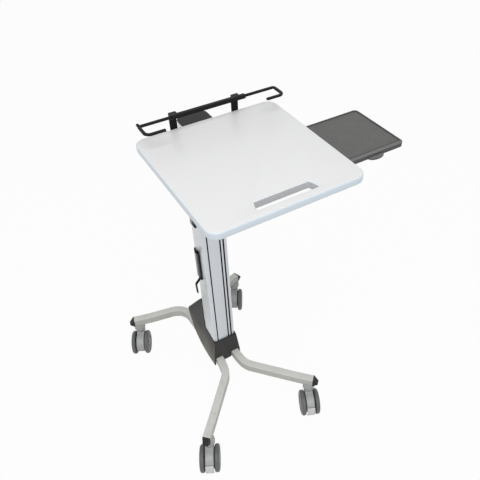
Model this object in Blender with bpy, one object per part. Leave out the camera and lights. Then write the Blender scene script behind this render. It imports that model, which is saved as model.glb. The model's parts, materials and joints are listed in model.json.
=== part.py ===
"""Height-adjustable rolling cart with a sliding worksurface, a side tray and a retaining bar.

Metres, +Z up. The front of the cart faces -Y and its right side is +X.
Everything is modelled about the column's axis at floor level. The last step moves the
whole cart so that its overall box stands centred on the origin.
"""

import math

import bmesh
import bpy
from mathutils import Matrix, Vector

# Worksurface
SURFACE_WIDTH = 0.410
SURFACE_DEPTH = 0.425
SURFACE_THICKNESS = 0.020
SURFACE_TOP = 1.250
SURFACE_REAR = -0.0578
SURFACE_CORNER = 0.030
SURFACE_EDGE = 0.0022
HANDLE_BAR = 0.023
HANDLE_DEPTH = 0.028
HANDLE_REAR_WIDTH = 0.145
HANDLE_FRONT_WIDTH = 0.163
HANDLE_CORNER = 0.004

# Lift
LIFT_STROKE = 0.508
CARRIAGE_HEIGHT = 0.140
CARRIAGE_PLATE = 0.003
CARRIAGE_SPREAD = 0.029
MAST_WIDTH = 0.080
MAST_PLATE = 0.004

# Column
COLUMN_WIDTH = 0.090
COLUMN_DEPTH = 0.080
COLUMN_CORNER = 0.009
COLUMN_WALL = 0.003
COLUMN_HEADROOM = 0.038
COLUMN_FOOT_RISE = 0.0135
SLOT_WIDTH = 0.004
PANEL_GROOVE_X = 0.0169
PANEL_GROOVE_WIDTH = 0.0034
PANEL_GROOVE_DEPTH = 0.0055
PANEL_FOLD = 0.012
PANEL_WALL = 0.002
SCREW_BOSS = 0.0065
COLUMN_BOLT = 0.0025

# Base
FRONT_REACH = 0.3074
REAR_REACH = 0.3308
FRONT_HALF_TRACK = 0.2231
REAR_HALF_TRACK = 0.2372
LEG_WIDTH = 0.030
LEG_HEIGHT = 0.036
LEG_CORNER = 0.007
LEG_SPREAD = 0.0349
LEG_ROOT_RISE = 0.0155
LEG_RIM_GAP = 0.038
LEG_OVERHANG = 0.0165
LEG_BEND = 0.0795
CAP_REACH = 0.0168
SHROUD_WALL = 0.0030

# Casters
WHEEL_DIAMETER = 0.102
WHEEL_WIDTH = 0.0208
CASTER_BODY_WIDTH = 0.0318
CASTER_TRAIL = 0.0334
AXLE = 0.0040
STEM = 0.0055
COLLAR = 0.0230
SWIVEL_TURN = {
    "front_left": -28.5,
    "front_right": -24.0,
    "rear_left": -28.0,
    "rear_right": -32.0,
}

# Side tray
TRAY_OUT = 0.3985
TRAY_INNER = 0.060
TRAY_FRONT = -0.394
TRAY_DEPTH = 0.1985
TRAY_HEIGHT = 0.012
TRAY_CORNER = 0.012
TRAY_RIM = 0.013
TRAY_FLOOR = 0.0085
TRAY_DROP = 0.0055
TRAY_TRAVEL = 0.185

# Retaining bar
RETAINER_RISE = 0.050
RETAINER_REAR = -0.0868
RETAINER_REACH = 0.048
RETAINER_HALF_WIDTH = {"left": 0.1903, "right": 0.195}
RETAINER_BAR = 0.0085
RETAINER_BAR_HEIGHT = 0.006
RETAINER_TRAVEL = 0.030

# Clearances
GAP = 0.0003
SLIDE_GAP = 0.0005
BORE_GAP = 0.0003

# Arcs: a wide corner gets finer steps than a small one
WIDE_CORNER = 0.0085
SMALL_CORNER = 0.0015


def clear_scene():
    for old in list(bpy.data.objects):
        bpy.data.objects.remove(old)


def material(name, colour, roughness, metallic=0.0):
    made = bpy.data.materials.new(name)
    made.use_nodes = True
    shader = made.node_tree.nodes["Principled BSDF"]
    shader.inputs["Base Color"].default_value = (*colour, 1.0)
    shader.inputs["Roughness"].default_value = roughness
    shader.inputs["Metallic"].default_value = metallic
    made.diffuse_color = (*colour, 1.0)
    return made


def finishes():
    return {
        "laminate": material("white_laminate", (0.86, 0.86, 0.84), 0.35),
        "aluminium": material("anodised_aluminium", (0.56, 0.59, 0.62), 0.38, 0.9),
        "leg_paint": material("warm_grey_paint", (0.56, 0.56, 0.52), 0.45),
        "cover": material("dark_grey_plastic", (0.055, 0.053, 0.052), 0.55),
        "tray": material("tray_plastic", (0.115, 0.115, 0.112), 0.6),
        "black_steel": material("black_powder_coat", (0.014, 0.014, 0.014), 0.5),
        "hood": material("grey_hood_plastic", (0.36, 0.37, 0.37), 0.5),
        "tyre": material("grey_tread", (0.10, 0.10, 0.10), 0.6),
        "pedal": material("light_grey_plastic", (0.60, 0.61, 0.60), 0.5),
        "zinc": material("zinc_plate", (0.62, 0.62, 0.60), 0.35, 1.0),
        "glide": material("white_acetal", (0.80, 0.80, 0.76), 0.5),
        "spring": material("spring_steel", (0.45, 0.46, 0.48), 0.3, 1.0),
    }


# Outlines: corner points with a radius each, turned into short arcs

def arc_step(radius):
    if radius > WIDE_CORNER:
        return math.radians(22.5)
    return math.radians(45.0 if radius > SMALL_CORNER else 90.0)


def rounded(corners):
    """Corners are (u, v) or (u, v, radius), in order. Returns the outline with its arcs."""
    outline = []
    count = len(corners)
    for index, corner in enumerate(corners):
        here = Vector(corner[:2])
        radius = corner[2] if len(corner) > 2 else 0.0
        before = (Vector(corners[index - 1][:2]) - here).normalized()
        after = (Vector(corners[(index + 1) % count][:2]) - here).normalized()
        spread = before.angle(after)
        if radius <= 0.0 or math.pi - spread < 1e-3:
            outline.append(here)
            continue
        reach = radius / math.tan(spread / 2)
        start = here + before * reach
        centre = here + (before + after).normalized() * (radius / math.sin(spread / 2))
        sweep = math.pi - spread
        turn = 1.0 if before.cross(after) < 0.0 else -1.0
        steps = max(1, round(sweep / arc_step(radius)))
        for step in range(steps + 1):
            spin = Matrix.Rotation(turn * sweep * step / steps, 2)
            outline.append(centre + spin @ (start - centre))
    return outline


def rectangle(u_low, u_high, v_low, v_high, radius=0.0):
    ends = [(u_low, v_low), (u_high, v_low), (u_high, v_high), (u_low, v_high)]
    return rounded([(u, v, radius) for u, v in ends])


def circle(radius, centre=(0.0, 0.0), sides=20):
    turns = [2 * math.pi * (step + 0.5) / sides for step in range(sides)]
    middle = Vector(centre)
    return [middle + radius * Vector((math.cos(t), math.sin(t))) for t in turns]


AXIS_FRAMES = {
    "X": lambda u, v, w: Vector((w, u, v)),
    "Y": lambda u, v, w: Vector((u, w, v)),
    "Z": lambda u, v, w: Vector((u, v, w)),
}


# Building objects

def add_object(name, mesh_data, parent, finish, origin=(0.0, 0.0, 0.0)):
    """Turns a bmesh into an object under parent. Its points are given about origin."""
    bmesh.ops.recalc_face_normals(mesh_data, faces=mesh_data.faces[:])
    bmesh.ops.translate(mesh_data, verts=mesh_data.verts[:], vec=-Vector(origin))
    mesh = bpy.data.meshes.new(name)
    mesh_data.to_mesh(mesh)
    mesh_data.free()
    made = bpy.data.objects.new(name, mesh)
    bpy.context.scene.collection.objects.link(made)
    made.parent = parent
    if finish:
        mesh.materials.append(finish)
    return made


def prism_mesh(outline, axis, low, high):
    """A closed prism along an axis."""
    place = AXIS_FRAMES[axis]
    made = bmesh.new()
    near = [made.verts.new(place(u, v, low)) for u, v in outline]
    far = [made.verts.new(place(u, v, high)) for u, v in outline]
    made.faces.new(near)
    made.faces.new(far)
    count = len(near)
    for index in range(count):
        after = (index + 1) % count
        made.faces.new((near[index], near[after], far[after], far[index]))
    return made


def turned_mesh(profile, sides=24):
    """A solid turned about Z. The (radius, height) profile has both ends on the axis, or
    runs right round a through bore."""
    made = bmesh.new()
    rings = []
    for radius, height in profile:
        if radius < 1e-6:
            rings.append([made.verts.new((0.0, 0.0, height))])
            continue
        turns = [2 * math.pi * step / sides for step in range(sides)]
        ring = [(radius * math.cos(t), radius * math.sin(t), height) for t in turns]
        rings.append([made.verts.new(point) for point in ring])
    pairs = list(zip(rings, rings[1:]))
    if profile[0][0] > 1e-6:
        pairs.append((rings[-1], rings[0]))
    for lower, upper in pairs:
        for step in range(sides):
            after = (step + 1) % sides
            if len(lower) == 1:
                made.faces.new((lower[0], upper[step], upper[after]))
            elif len(upper) == 1:
                made.faces.new((lower[step], lower[after], upper[0]))
            else:
                made.faces.new((lower[step], lower[after], upper[after], upper[step]))
    return made


def along_x(mesh_data, centre=(0.0, 0.0, 0.0)):
    """Lays a turned solid down along +X and moves its foot to centre."""
    turn = Matrix.Translation(Vector(centre)) @ Matrix.Rotation(math.pi / 2, 4, "Y")
    bmesh.ops.transform(mesh_data, matrix=turn, verts=mesh_data.verts[:])
    return mesh_data


def moved(mesh_data, offset):
    bmesh.ops.translate(mesh_data, verts=mesh_data.verts[:], vec=Vector(offset))
    return mesh_data


def rod_mesh(radius, length, sides=20):
    return turned_mesh([(0.0, 0.0), (radius, 0.0), (radius, length), (0.0, length)], sides)


def rounded_path(corners, radii):
    """A 3-D line through corners, with an arc of the given radius at each inner one."""
    points = [Vector(corners[0])]
    for index in range(1, len(corners) - 1):
        here = Vector(corners[index])
        before = (Vector(corners[index - 1]) - here).normalized()
        after = (Vector(corners[index + 1]) - here).normalized()
        radius = radii[index - 1]
        spread = before.angle(after)
        reach = radius / math.tan(spread / 2)
        centre = here + (before + after).normalized() * (radius / math.sin(spread / 2))
        normal = before.cross(after).normalized()
        sweep = math.pi - spread
        steps = max(2, round(sweep / math.radians(18)))
        arm = here + before * reach - centre
        for step in range(steps + 1):
            spin = Matrix.Rotation(-sweep * step / steps, 3, normal)
            points.append(centre + spin @ arm)
    points.append(Vector(corners[-1]))
    return points


def path_frames(points):
    """Side, up and forward directions at each point, mitred between the stretches."""
    frames = []
    last = len(points) - 1
    for index, point in enumerate(points):
        back = (point - points[index - 1]).normalized() if index else None
        ahead = (points[index + 1] - point).normalized() if index < last else None
        forward = ((back or ahead) + (ahead or back)).normalized()
        side = forward.cross(Vector((0.0, 0.0, 1.0))).normalized()
        frames.append((point, side, side.cross(forward), forward))
    return frames


def swept_mesh(points, section):
    """Carries a section of (side, up) points along the line, with closed ends."""
    made = bmesh.new()
    rings = []
    for point, side, up, _ in path_frames(points):
        ring = [made.verts.new(point + side * u + up * v) for u, v in section]
        rings.append(ring)
    made.faces.new(rings[0])
    made.faces.new(rings[-1])
    count = len(section)
    for near, far in zip(rings, rings[1:]):
        for step in range(count):
            after = (step + 1) % count
            made.faces.new((near[step], near[after], far[after], far[step]))
    return made


def helper(name, mesh_data, parent, origin=(0.0, 0.0, 0.0)):
    """A cutter or an added body, which isn't a piece of the cart by itself."""
    made = add_object(name, mesh_data, parent, None, origin)
    made.hide_render = True
    made.display_type = "WIRE"
    return made


def combine(target, operation, mesh_data, origin=(0.0, 0.0, 0.0)):
    """Cuts mesh_data from the target, or joins it on."""
    name = "{}_{}_{}".format(target.name, operation.lower(), len(target.modifiers))
    other = helper(name, mesh_data, target.parent, origin)
    step = target.modifiers.new(name, "BOOLEAN")
    step.operation = operation
    step.solver = "EXACT"
    step.object = other
    return other


def soften(target, width, segments=2, angle=50.0):
    """Rounds every edge that is sharper than the angle."""
    step = target.modifiers.new("soft_edges", "BEVEL")
    step.width = width
    step.segments = segments
    step.limit_method = "ANGLE"
    step.angle_limit = math.radians(angle)
    step.use_clamp_overlap = True
    return step


def empty(name, parent, location, turn=0.0):
    made = bpy.data.objects.new(name, None)
    bpy.context.scene.collection.objects.link(made)
    made.parent = parent
    made.location = location
    made.rotation_euler = (0.0, 0.0, turn)
    made.empty_display_size = 0.02
    return made


# Heights and faces that several pieces share

LEG_UNDERSIDE = WHEEL_DIAMETER + LEG_RIM_GAP
LEG_AXIS = LEG_UNDERSIDE + LEG_HEIGHT / 2
LEG_ROOT = LEG_AXIS + LEG_ROOT_RISE
LEGS_TOP = LEG_ROOT + LEG_HEIGHT / 2
COLUMN_FOOT = LEGS_TOP + COLUMN_FOOT_RISE
COLUMN_TOP = SURFACE_TOP - COLUMN_HEADROOM
COLUMN_FRONT = -COLUMN_DEPTH / 2
COLUMN_REAR = COLUMN_DEPTH / 2


# Column and base

LIP_EDGE = CARRIAGE_SPREAD + SLOT_WIDTH / 2
PANEL_EDGE = CARRIAGE_SPREAD - SLOT_WIDTH / 2

def build_column(cart, looks):
    half = COLUMN_WIDTH / 2
    inner = half - COLUMN_WALL
    deep = COLUMN_REAR - COLUMN_WALL
    soft = COLUMN_CORNER - COLUMN_WALL
    shell = rounded([
        (-LIP_EDGE, COLUMN_FRONT),
        (-LIP_EDGE, COLUMN_FRONT + COLUMN_WALL),
        (-inner, COLUMN_FRONT + COLUMN_WALL, soft),
        (-inner, deep, soft),
        (inner, deep, soft),
        (inner, COLUMN_FRONT + COLUMN_WALL, soft),
        (LIP_EDGE, COLUMN_FRONT + COLUMN_WALL),
        (LIP_EDGE, COLUMN_FRONT),
        (half, COLUMN_FRONT, COLUMN_CORNER),
        (half, COLUMN_REAR, COLUMN_CORNER),
        (-half, COLUMN_REAR, COLUMN_CORNER),
        (-half, COLUMN_FRONT, COLUMN_CORNER),
    ])
    column = add_object(
        "column", prism_mesh(shell, "Z", COLUMN_FOOT, COLUMN_TOP), cart, looks["aluminium"]
    )
    for side in (-1, 1):
        spot = (side * boss_x(), boss_y())
        boss = prism_mesh(circle(SCREW_BOSS, spot, 16), "Z", COLUMN_FOOT, COLUMN_TOP)
        combine(column, "UNION", boss)
    for side in (-1, 1):
        spot = (side * boss_x(), boss_y())
        bore = circle(COLUMN_BOLT + BORE_GAP, spot, 12)
        combine(column, "DIFFERENCE", prism_mesh(bore, "Z", COLUMN_FOOT - 0.01, COLUMN_TOP + 0.01))
    return column


def boss_x():
    return COLUMN_WIDTH / 2 - SCREW_BOSS - 0.001


def boss_y():
    return COLUMN_REAR - SCREW_BOSS - 0.001


def build_front_panel(cart, looks):
    """The strip between the two slots: folded edges and a deep groove on its right."""
    back = COLUMN_FRONT + COLUMN_WALL
    fold_end = COLUMN_FRONT + PANEL_FOLD
    left = PANEL_GROOVE_X - PANEL_GROOVE_WIDTH / 2
    right = PANEL_GROOVE_X + PANEL_GROOVE_WIDTH / 2
    floor = COLUMN_FRONT + PANEL_GROOVE_DEPTH
    wall = PANEL_WALL
    strip = rounded([
        (-PANEL_EDGE, COLUMN_FRONT, 0.0006),
        (left, COLUMN_FRONT),
        (left, floor),
        (right, floor),
        (right, COLUMN_FRONT),
        (PANEL_EDGE, COLUMN_FRONT, 0.0006),
        (PANEL_EDGE, fold_end),
        (PANEL_EDGE - wall, fold_end),
        (PANEL_EDGE - wall, back),
        (right + wall, back),
        (right + wall, floor + wall),
        (left - wall, floor + wall),
        (left - wall, back),
        (-PANEL_EDGE + wall, back),
        (-PANEL_EDGE + wall, fold_end),
        (-PANEL_EDGE, fold_end),
    ])
    panel = prism_mesh(strip, "Z", COLUMN_FOOT, COLUMN_TOP)
    return add_object("column_front_panel", panel, cart, looks["aluminium"])


def build_top_cap(cart, looks):
    """Closes the column and holds the head of the front panel between its flanges."""
    half = COLUMN_WIDTH / 2 + 0.0005
    deep = COLUMN_DEPTH / 2 + 0.0005
    low = COLUMN_TOP + GAP
    lid = rectangle(-half, half, -deep, deep, COLUMN_CORNER)
    cap = add_object("column_top_cap", prism_mesh(lid, "Z", low, low + 0.006), cart, looks["cover"])
    soften(cap, 0.0015)
    key_half = PANEL_EDGE - PANEL_WALL - GAP
    key_front = COLUMN_FRONT + PANEL_GROOVE_DEPTH + PANEL_WALL + GAP
    key = rectangle(-key_half, key_half, key_front, -0.002, 0.001)
    combine(cap, "UNION", prism_mesh(key, "Z", low - 0.005, low + 0.003))
    return cap


def frame_top():
    return COLUMN_FOOT - GAP


BEAM_HALF = LEG_SPREAD - LEG_WIDTH / 2 - GAP
BEAM_FRONT = -0.030
BEAM_REAR = 0.150
BEAM_LOW = LEGS_TOP - 0.0335
BEAM_CAP_DEPTH = 0.016
SHOE_THICK = 0.0085
SPINE_FRONT = COLUMN_REAR + GAP
SPINE_TOP = COLUMN_FOOT + 0.210


def build_base_frame(cart, looks):
    """The steel core: a beam between the legs, a shoe under the column and a back strut."""
    shoe_low = frame_top() - SHOE_THICK
    beam = rectangle(-BEAM_HALF, BEAM_HALF, BEAM_FRONT, BEAM_REAR, 0.002)
    frame = add_object(
        "base_frame", prism_mesh(beam, "Z", BEAM_LOW, frame_top() - 0.004), cart, looks["black_steel"]
    )
    half = COLUMN_WIDTH / 2 - 0.003
    shoe = rectangle(-half, half, COLUMN_FRONT + 0.002, COLUMN_REAR + 0.012, 0.003)
    combine(frame, "UNION", prism_mesh(shoe, "Z", shoe_low, frame_top()))
    back = rectangle(-0.030, 0.030, shoe_low + 0.001, SPINE_TOP, 0.004)
    combine(frame, "UNION", prism_mesh(back, "Y", SPINE_FRONT, SPINE_FRONT + 0.004))
    web = rounded([
        (SPINE_FRONT + 0.002, BEAM_LOW + 0.010),
        (BEAM_REAR - 0.004, BEAM_LOW + 0.010),
        (BEAM_REAR - 0.004, BEAM_LOW + 0.070, 0.01),
        (SPINE_FRONT + 0.002, SPINE_TOP - 0.012),
    ])
    combine(frame, "UNION", prism_mesh(web, "X", -0.0025, 0.0025))
    for side in (-1, 1):
        bore = circle(COLUMN_BOLT + BORE_GAP, (side * boss_x(), boss_y()), 12)
        combine(frame, "DIFFERENCE", prism_mesh(bore, "Z", shoe_low - 0.01, frame_top() + 0.01))
    return frame


def build_column_bolts(cart, looks):
    """Bolts up through the shoe into the column's screw channels."""
    head_top = frame_top() - SHOE_THICK - GAP
    for side, word in ((-1, "left"), (1, "right")):
        profile = [
            (0.0, 0.0),
            (0.0042, 0.0),
            (0.0046, 0.0006),
            (0.0046, 0.0035),
            (COLUMN_BOLT, 0.0035),
            (COLUMN_BOLT, 0.0430),
            (0.0, 0.0440),
        ]
        bolt = moved(turned_mesh(profile, 12), (side * boss_x(), boss_y(), head_top - 0.0035))
        add_object("column_bolt_" + word, bolt, cart, looks["zinc"])


def build_beam_cap(cart, looks):
    """The small block that closes the front end of the beam between the front legs."""
    half = BEAM_HALF - 0.001
    back = BEAM_FRONT - GAP
    block = rectangle(-half, half, BEAM_LOW - 0.001, LEGS_TOP - 0.003, 0.003)
    cap = prism_mesh(block, "Y", back - BEAM_CAP_DEPTH, back)
    return add_object("beam_cap", cap, cart, looks["cover"])


# Shroud: the boot-shaped cover over the foot of the column

SHROUD_FRONT = -0.0495
SHROUD_LEAN = 0.0035
SHROUD_TOE = COLUMN_FOOT - 0.0530
SHROUD_SOLE = COLUMN_FOOT - 0.0575
SHROUD_FLARE = COLUMN_FOOT - 0.018
SHROUD_FRONT_TOP = COLUMN_FOOT + 0.0805
SHROUD_LEDGE = COLUMN_FOOT + 0.098
SHROUD_HALF_LOW = COLUMN_WIDTH / 2 + 0.013
SHROUD_HALF_TOP = COLUMN_WIDTH / 2 + GAP + 0.0022
SHROUD_SPINE_TOP = COLUMN_FOOT + 0.250
SHROUD_SPINE_REAR = COLUMN_REAR + 0.012
SHROUD_CREST = COLUMN_REAR - 0.004
SHROUD_HEEL = (COLUMN_REAR + 0.154, COLUMN_FOOT + 0.065)
SHROUD_OPEN = COLUMN_FOOT - 0.125


def shroud_side():
    """The boot seen from the side: toe, sole, heel, spine and the ledge round the column."""
    return rounded([
        (SHROUD_FRONT, SHROUD_TOE, 0.002),
        (0.030, SHROUD_SOLE, 0.10),
        (0.110, SHROUD_SOLE + 0.0285, 0.12),
        (SHROUD_HEEL[0] - 0.007, SHROUD_HEEL[1] - 0.014, 0.010),
        (*SHROUD_HEEL, 0.008),
        (SHROUD_SPINE_REAR, SHROUD_SPINE_TOP, 0.006),
        (SHROUD_CREST, SHROUD_SPINE_TOP),
        (SHROUD_CREST, SHROUD_LEDGE),
        (SHROUD_FRONT + SHROUD_LEAN, SHROUD_FRONT_TOP, 0.002),
    ])


def shroud_hollow():
    """The hollow behind the walls, seen from the side. It runs out through the open sole."""
    wall = SHROUD_WALL
    down = Vector((SHROUD_HEEL[0] - SHROUD_SPINE_REAR, SHROUD_HEEL[1] - SHROUD_SPINE_TOP))
    down.normalize()
    inner = Vector((SHROUD_SPINE_REAR, SHROUD_SPINE_TOP)) + Vector((down.y, -down.x)) * wall
    roof = SHROUD_SPINE_TOP - wall
    crest = SHROUD_CREST - 0.002
    return rounded([
        (SHROUD_FRONT + wall, SHROUD_OPEN),
        inner + down * ((SHROUD_OPEN - inner.y) / down.y),
        inner + down * ((roof - inner.y) / down.y),
        (crest, roof),
        (crest, SHROUD_LEDGE - wall),
        (SHROUD_FRONT + SHROUD_LEAN + wall, SHROUD_FRONT_TOP - wall),
    ])


def shroud_front(half_low, half_top):
    """The boot seen from the front: cheeks that are upright low down and then lean in."""
    right = [
        (half_low, SHROUD_OPEN - 0.01),
        (half_low, SHROUD_FLARE, 0.03),
        (half_top, SHROUD_FRONT_TOP, 0.03),
        (half_top, SHROUD_SPINE_TOP + 0.02),
    ]
    left = [(-corner[0], *corner[1:]) for corner in reversed(right)]
    return rounded(right + left)


def build_shroud(cart, looks):
    half_low = SHROUD_HALF_LOW
    half_top = SHROUD_HALF_TOP
    deep = (SHROUD_FRONT - 0.02, SHROUD_HEEL[0] + 0.02)
    boot = prism_mesh(shroud_side(), "X", -half_low - 0.01, half_low + 0.01)
    shroud = add_object("base_shroud", boot, cart, looks["cover"])
    combine(shroud, "INTERSECT", prism_mesh(shroud_front(half_low, half_top), "Y", *deep))
    inner_low = half_low - SHROUD_WALL
    inner_top = half_top - SHROUD_WALL
    hollow = combine(shroud, "DIFFERENCE", prism_mesh(shroud_hollow(), "X", -half_low, half_low))
    deep = (SHROUD_FRONT - 0.02, SHROUD_HEEL[0] + 0.20)
    combine(hollow, "INTERSECT", prism_mesh(shroud_front(inner_low, inner_top), "Y", *deep))
    half = COLUMN_WIDTH / 2 + GAP
    pocket = rectangle(-half, half, COLUMN_FRONT - GAP, COLUMN_REAR + GAP, COLUMN_CORNER)
    combine(shroud, "DIFFERENCE", prism_mesh(pocket, "Z", SHROUD_FLARE, SHROUD_SPINE_TOP + 0.02))
    notch_half = inner_low - 0.002
    notch = rectangle(-notch_half, notch_half, SHROUD_OPEN, LEGS_TOP + 0.001)
    combine(shroud, "DIFFERENCE", prism_mesh(notch, "Y", SHROUD_FRONT - 0.02, -0.03))
    return shroud


# Legs

ROOT_SPLIT = 0.050
ROOT_GAP = 0.005
FRONT_BEND = (0.0436, -0.1197, LEG_AXIS + 0.0094)
REAR_RISE = (0.1408, LEG_AXIS + 0.0226)
REAR_BEND = (0.0359, 0.2782, LEG_AXIS + 0.0110)


def leg_line(side, end):
    """The leg's centre line from inside the shroud out past its caster."""
    spread = side * LEG_SPREAD
    if end == "front":
        bend = Vector((side * FRONT_BEND[0], *FRONT_BEND[1:]))
        corners = [
            (spread, ROOT_SPLIT - ROOT_GAP / 2, LEG_ROOT),
            (spread, -0.062, LEG_ROOT + 0.0005),
            bend,
        ]
        stem = Vector((side * FRONT_HALF_TRACK, -FRONT_REACH, LEG_AXIS))
    else:
        bend = Vector((side * REAR_BEND[0], *REAR_BEND[1:]))
        corners = [(spread, ROOT_SPLIT + ROOT_GAP / 2, LEG_ROOT), (spread, *REAR_RISE), bend]
        stem = Vector((side * REAR_HALF_TRACK, REAR_REACH, LEG_AXIS))
    outward = (stem - bend).normalized()
    level = stem - outward * 0.060
    corners.append(Vector((level.x, level.y, LEG_AXIS)))
    flat = Vector((outward.x, outward.y, 0.0)).normalized()
    corners.append(stem + flat * LEG_OVERHANG)
    return corners, stem


def leg_name(side, end):
    return "{}_{}".format(end, "left" if side < 0 else "right")


def build_leg(cart, looks, side, end):
    corners, stem = leg_line(side, end)
    line = rounded_path(corners, [0.08, LEG_BEND, 0.20])
    section = rectangle(
        -LEG_WIDTH / 2, LEG_WIDTH / 2, -LEG_HEIGHT / 2, LEG_HEIGHT / 2, LEG_CORNER
    )
    leg = add_object("leg_" + leg_name(side, end), swept_mesh(line, section), cart, looks["leg_paint"])
    socket = circle(STEM + BORE_GAP, stem[:2], 16)
    combine(leg, "DIFFERENCE", prism_mesh(socket, "Z", LEG_UNDERSIDE - 0.01, LEG_AXIS + 0.004))
    point, across, up, outward = path_frames(line)[-1]
    frame = Matrix.Translation(point) @ Matrix((outward, across, up)).transposed().to_4x4()
    pocket_half = LEG_WIDTH / 2 - 0.003
    pocket_tall = LEG_HEIGHT / 2 - 0.003
    pocket = rectangle(-pocket_half, pocket_half, -pocket_tall, pocket_tall, 0.004)
    pocket_mesh = prism_mesh(pocket, "X", -0.008, 0.01)
    bmesh.ops.transform(pocket_mesh, matrix=frame, verts=pocket_mesh.verts[:])
    combine(leg, "DIFFERENCE", pocket_mesh)
    build_leg_cap(cart, looks, leg_name(side, end), frame, pocket_half, pocket_tall)
    return stem


def build_leg_cap(cart, looks, name, frame, pocket_half, pocket_tall):
    """A wedge-shaped end cap: flush at the top, proud lower down, with a plug behind."""
    tall = LEG_HEIGHT / 2
    wedge = rounded([
        (GAP, tall - 0.0005),
        (0.0030, tall - 0.0005, 0.001),
        (CAP_REACH, -tall * 0.45, 0.004),
        (CAP_REACH - 0.0015, -tall + 0.0005, 0.003),
        (GAP, -tall + 0.0005),
    ])
    half = LEG_WIDTH / 2 - 0.0005
    place = AXIS_FRAMES["Y"]
    made = bmesh.new()
    rings = []
    for across in (-half, half):
        rings.append([made.verts.new(place(u, v, across)) for u, v in wedge])
    made.faces.new(rings[0])
    made.faces.new(rings[1])
    for step in range(len(wedge)):
        after = (step + 1) % len(wedge)
        made.faces.new((rings[0][step], rings[0][after], rings[1][after], rings[1][step]))
    bmesh.ops.transform(made, matrix=frame, verts=made.verts[:])
    cap = add_object("leg_cap_" + name, made, cart, looks["cover"])
    plug_half = pocket_half - GAP
    plug_tall = pocket_tall - GAP
    plug = prism_mesh(rectangle(-plug_half, plug_half, -plug_tall, plug_tall, 0.004), "X", -0.0075, 0.003)
    bmesh.ops.transform(plug, matrix=frame, verts=plug.verts[:])
    combine(cap, "UNION", plug)
    return cap


# Casters, each modelled about its own swivel axis, trailing towards -Y

WHEEL_RADIUS = WHEEL_DIAMETER / 2
BODY_RADIUS = WHEEL_RADIUS - 0.0095
SEAT_RADIUS = BODY_RADIUS - 0.0030
WHEEL_INNER = CASTER_BODY_WIDTH / 2 + SLIDE_GAP
COLLAR_TOP = LEG_UNDERSIDE - GAP
PEDAL_PIN = 0.0024
PEDAL_THICK = 0.0050
PEDAL_HINGE = math.radians(33.0)
PEDAL_TOE = math.radians(-28.0)
PEDAL_FLARE = 0.0100


def on_arc(radius, angle):
    """A point round the axle in the caster's side view; 0 looks back along the trail."""
    return (-CASTER_TRAIL - radius * math.cos(angle), WHEEL_RADIUS + radius * math.sin(angle))


def arc_points(start, end, radius, end_radius=None):
    """Points from one angle to another. A second radius makes the arc open or close."""
    steps = max(2, round(abs(end - start) / math.radians(15)))
    grow = (end_radius or radius) - radius
    parts = [step / steps for step in range(steps + 1)]
    return [on_arc(radius + grow * part, start + (end - start) * part) for part in parts]


def caster_side(with_pedal):
    """The caster body seen from the side: a hood round the axle, cut back for the pedal."""
    hood_end = PEDAL_HINGE + math.radians(6) if with_pedal else PEDAL_TOE
    rim = arc_points(math.radians(100), hood_end, BODY_RADIUS)
    seat = arc_points(PEDAL_HINGE, PEDAL_TOE, SEAT_RADIUS) if with_pedal else []
    under = arc_points(math.radians(-70), math.radians(-150), BODY_RADIUS - 0.0140)
    neck = COLLAR - 0.006
    front = [(neck, WHEEL_RADIUS + 0.030), (neck, COLLAR_TOP - 0.040)]
    return [Vector(point) for point in rim + seat + under + front]


def build_caster(cart, looks, name, stem, with_pedal):
    turn = math.radians(SWIVEL_TURN[name])
    swivel = empty("swivel_" + name, cart, (stem.x, stem.y, 0.0), turn)
    half = CASTER_BODY_WIDTH / 2
    body_mesh = prism_mesh(caster_side(with_pedal), "X", -half, half)
    body = add_object("caster_body_" + name, body_mesh, swivel, looks["hood"])
    soften(body, 0.0020, 1, 60.0)
    collar = [
        (0.0, COLLAR_TOP - 0.062),
        (0.0120, COLLAR_TOP - 0.062),
        (0.0150, COLLAR_TOP - 0.041),
        (COLLAR - 0.001, COLLAR_TOP - 0.0265),
        (COLLAR, COLLAR_TOP - 0.0245),
        (COLLAR, COLLAR_TOP - 0.0125),
        (COLLAR - 0.0010, COLLAR_TOP - 0.0115),
        (COLLAR - 0.0035, COLLAR_TOP - 0.0115),
        (COLLAR - 0.0035, COLLAR_TOP - 0.0098),
        (COLLAR - 0.0015, COLLAR_TOP - 0.0098),
        (COLLAR - 0.0015, COLLAR_TOP),
        (STEM, COLLAR_TOP),
        (STEM, LEG_AXIS + 0.002),
        (0.0, LEG_AXIS + 0.002),
    ]
    combine(body, "UNION", turned_mesh(collar, 16))
    axle_at = (-half - 0.01, -CASTER_TRAIL, WHEEL_RADIUS)
    bore = along_x(rod_mesh(AXLE + BORE_GAP, CASTER_BODY_WIDTH + 0.02, 12), axle_at)
    combine(body, "DIFFERENCE", bore)
    axle_half = WHEEL_INNER + WHEEL_WIDTH - 0.0065
    axle = along_x(rod_mesh(AXLE, 2 * axle_half, 12), (-axle_half, -CASTER_TRAIL, WHEEL_RADIUS))
    add_object("axle_" + name, axle, swivel, looks["zinc"])
    for side, word in ((-1, "a"), (1, "b")):
        build_wheel(looks, swivel, "wheel_{}_{}".format(name, word), side)
    if with_pedal:
        build_pedal(looks, swivel, name, body)
    return swivel


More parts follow.
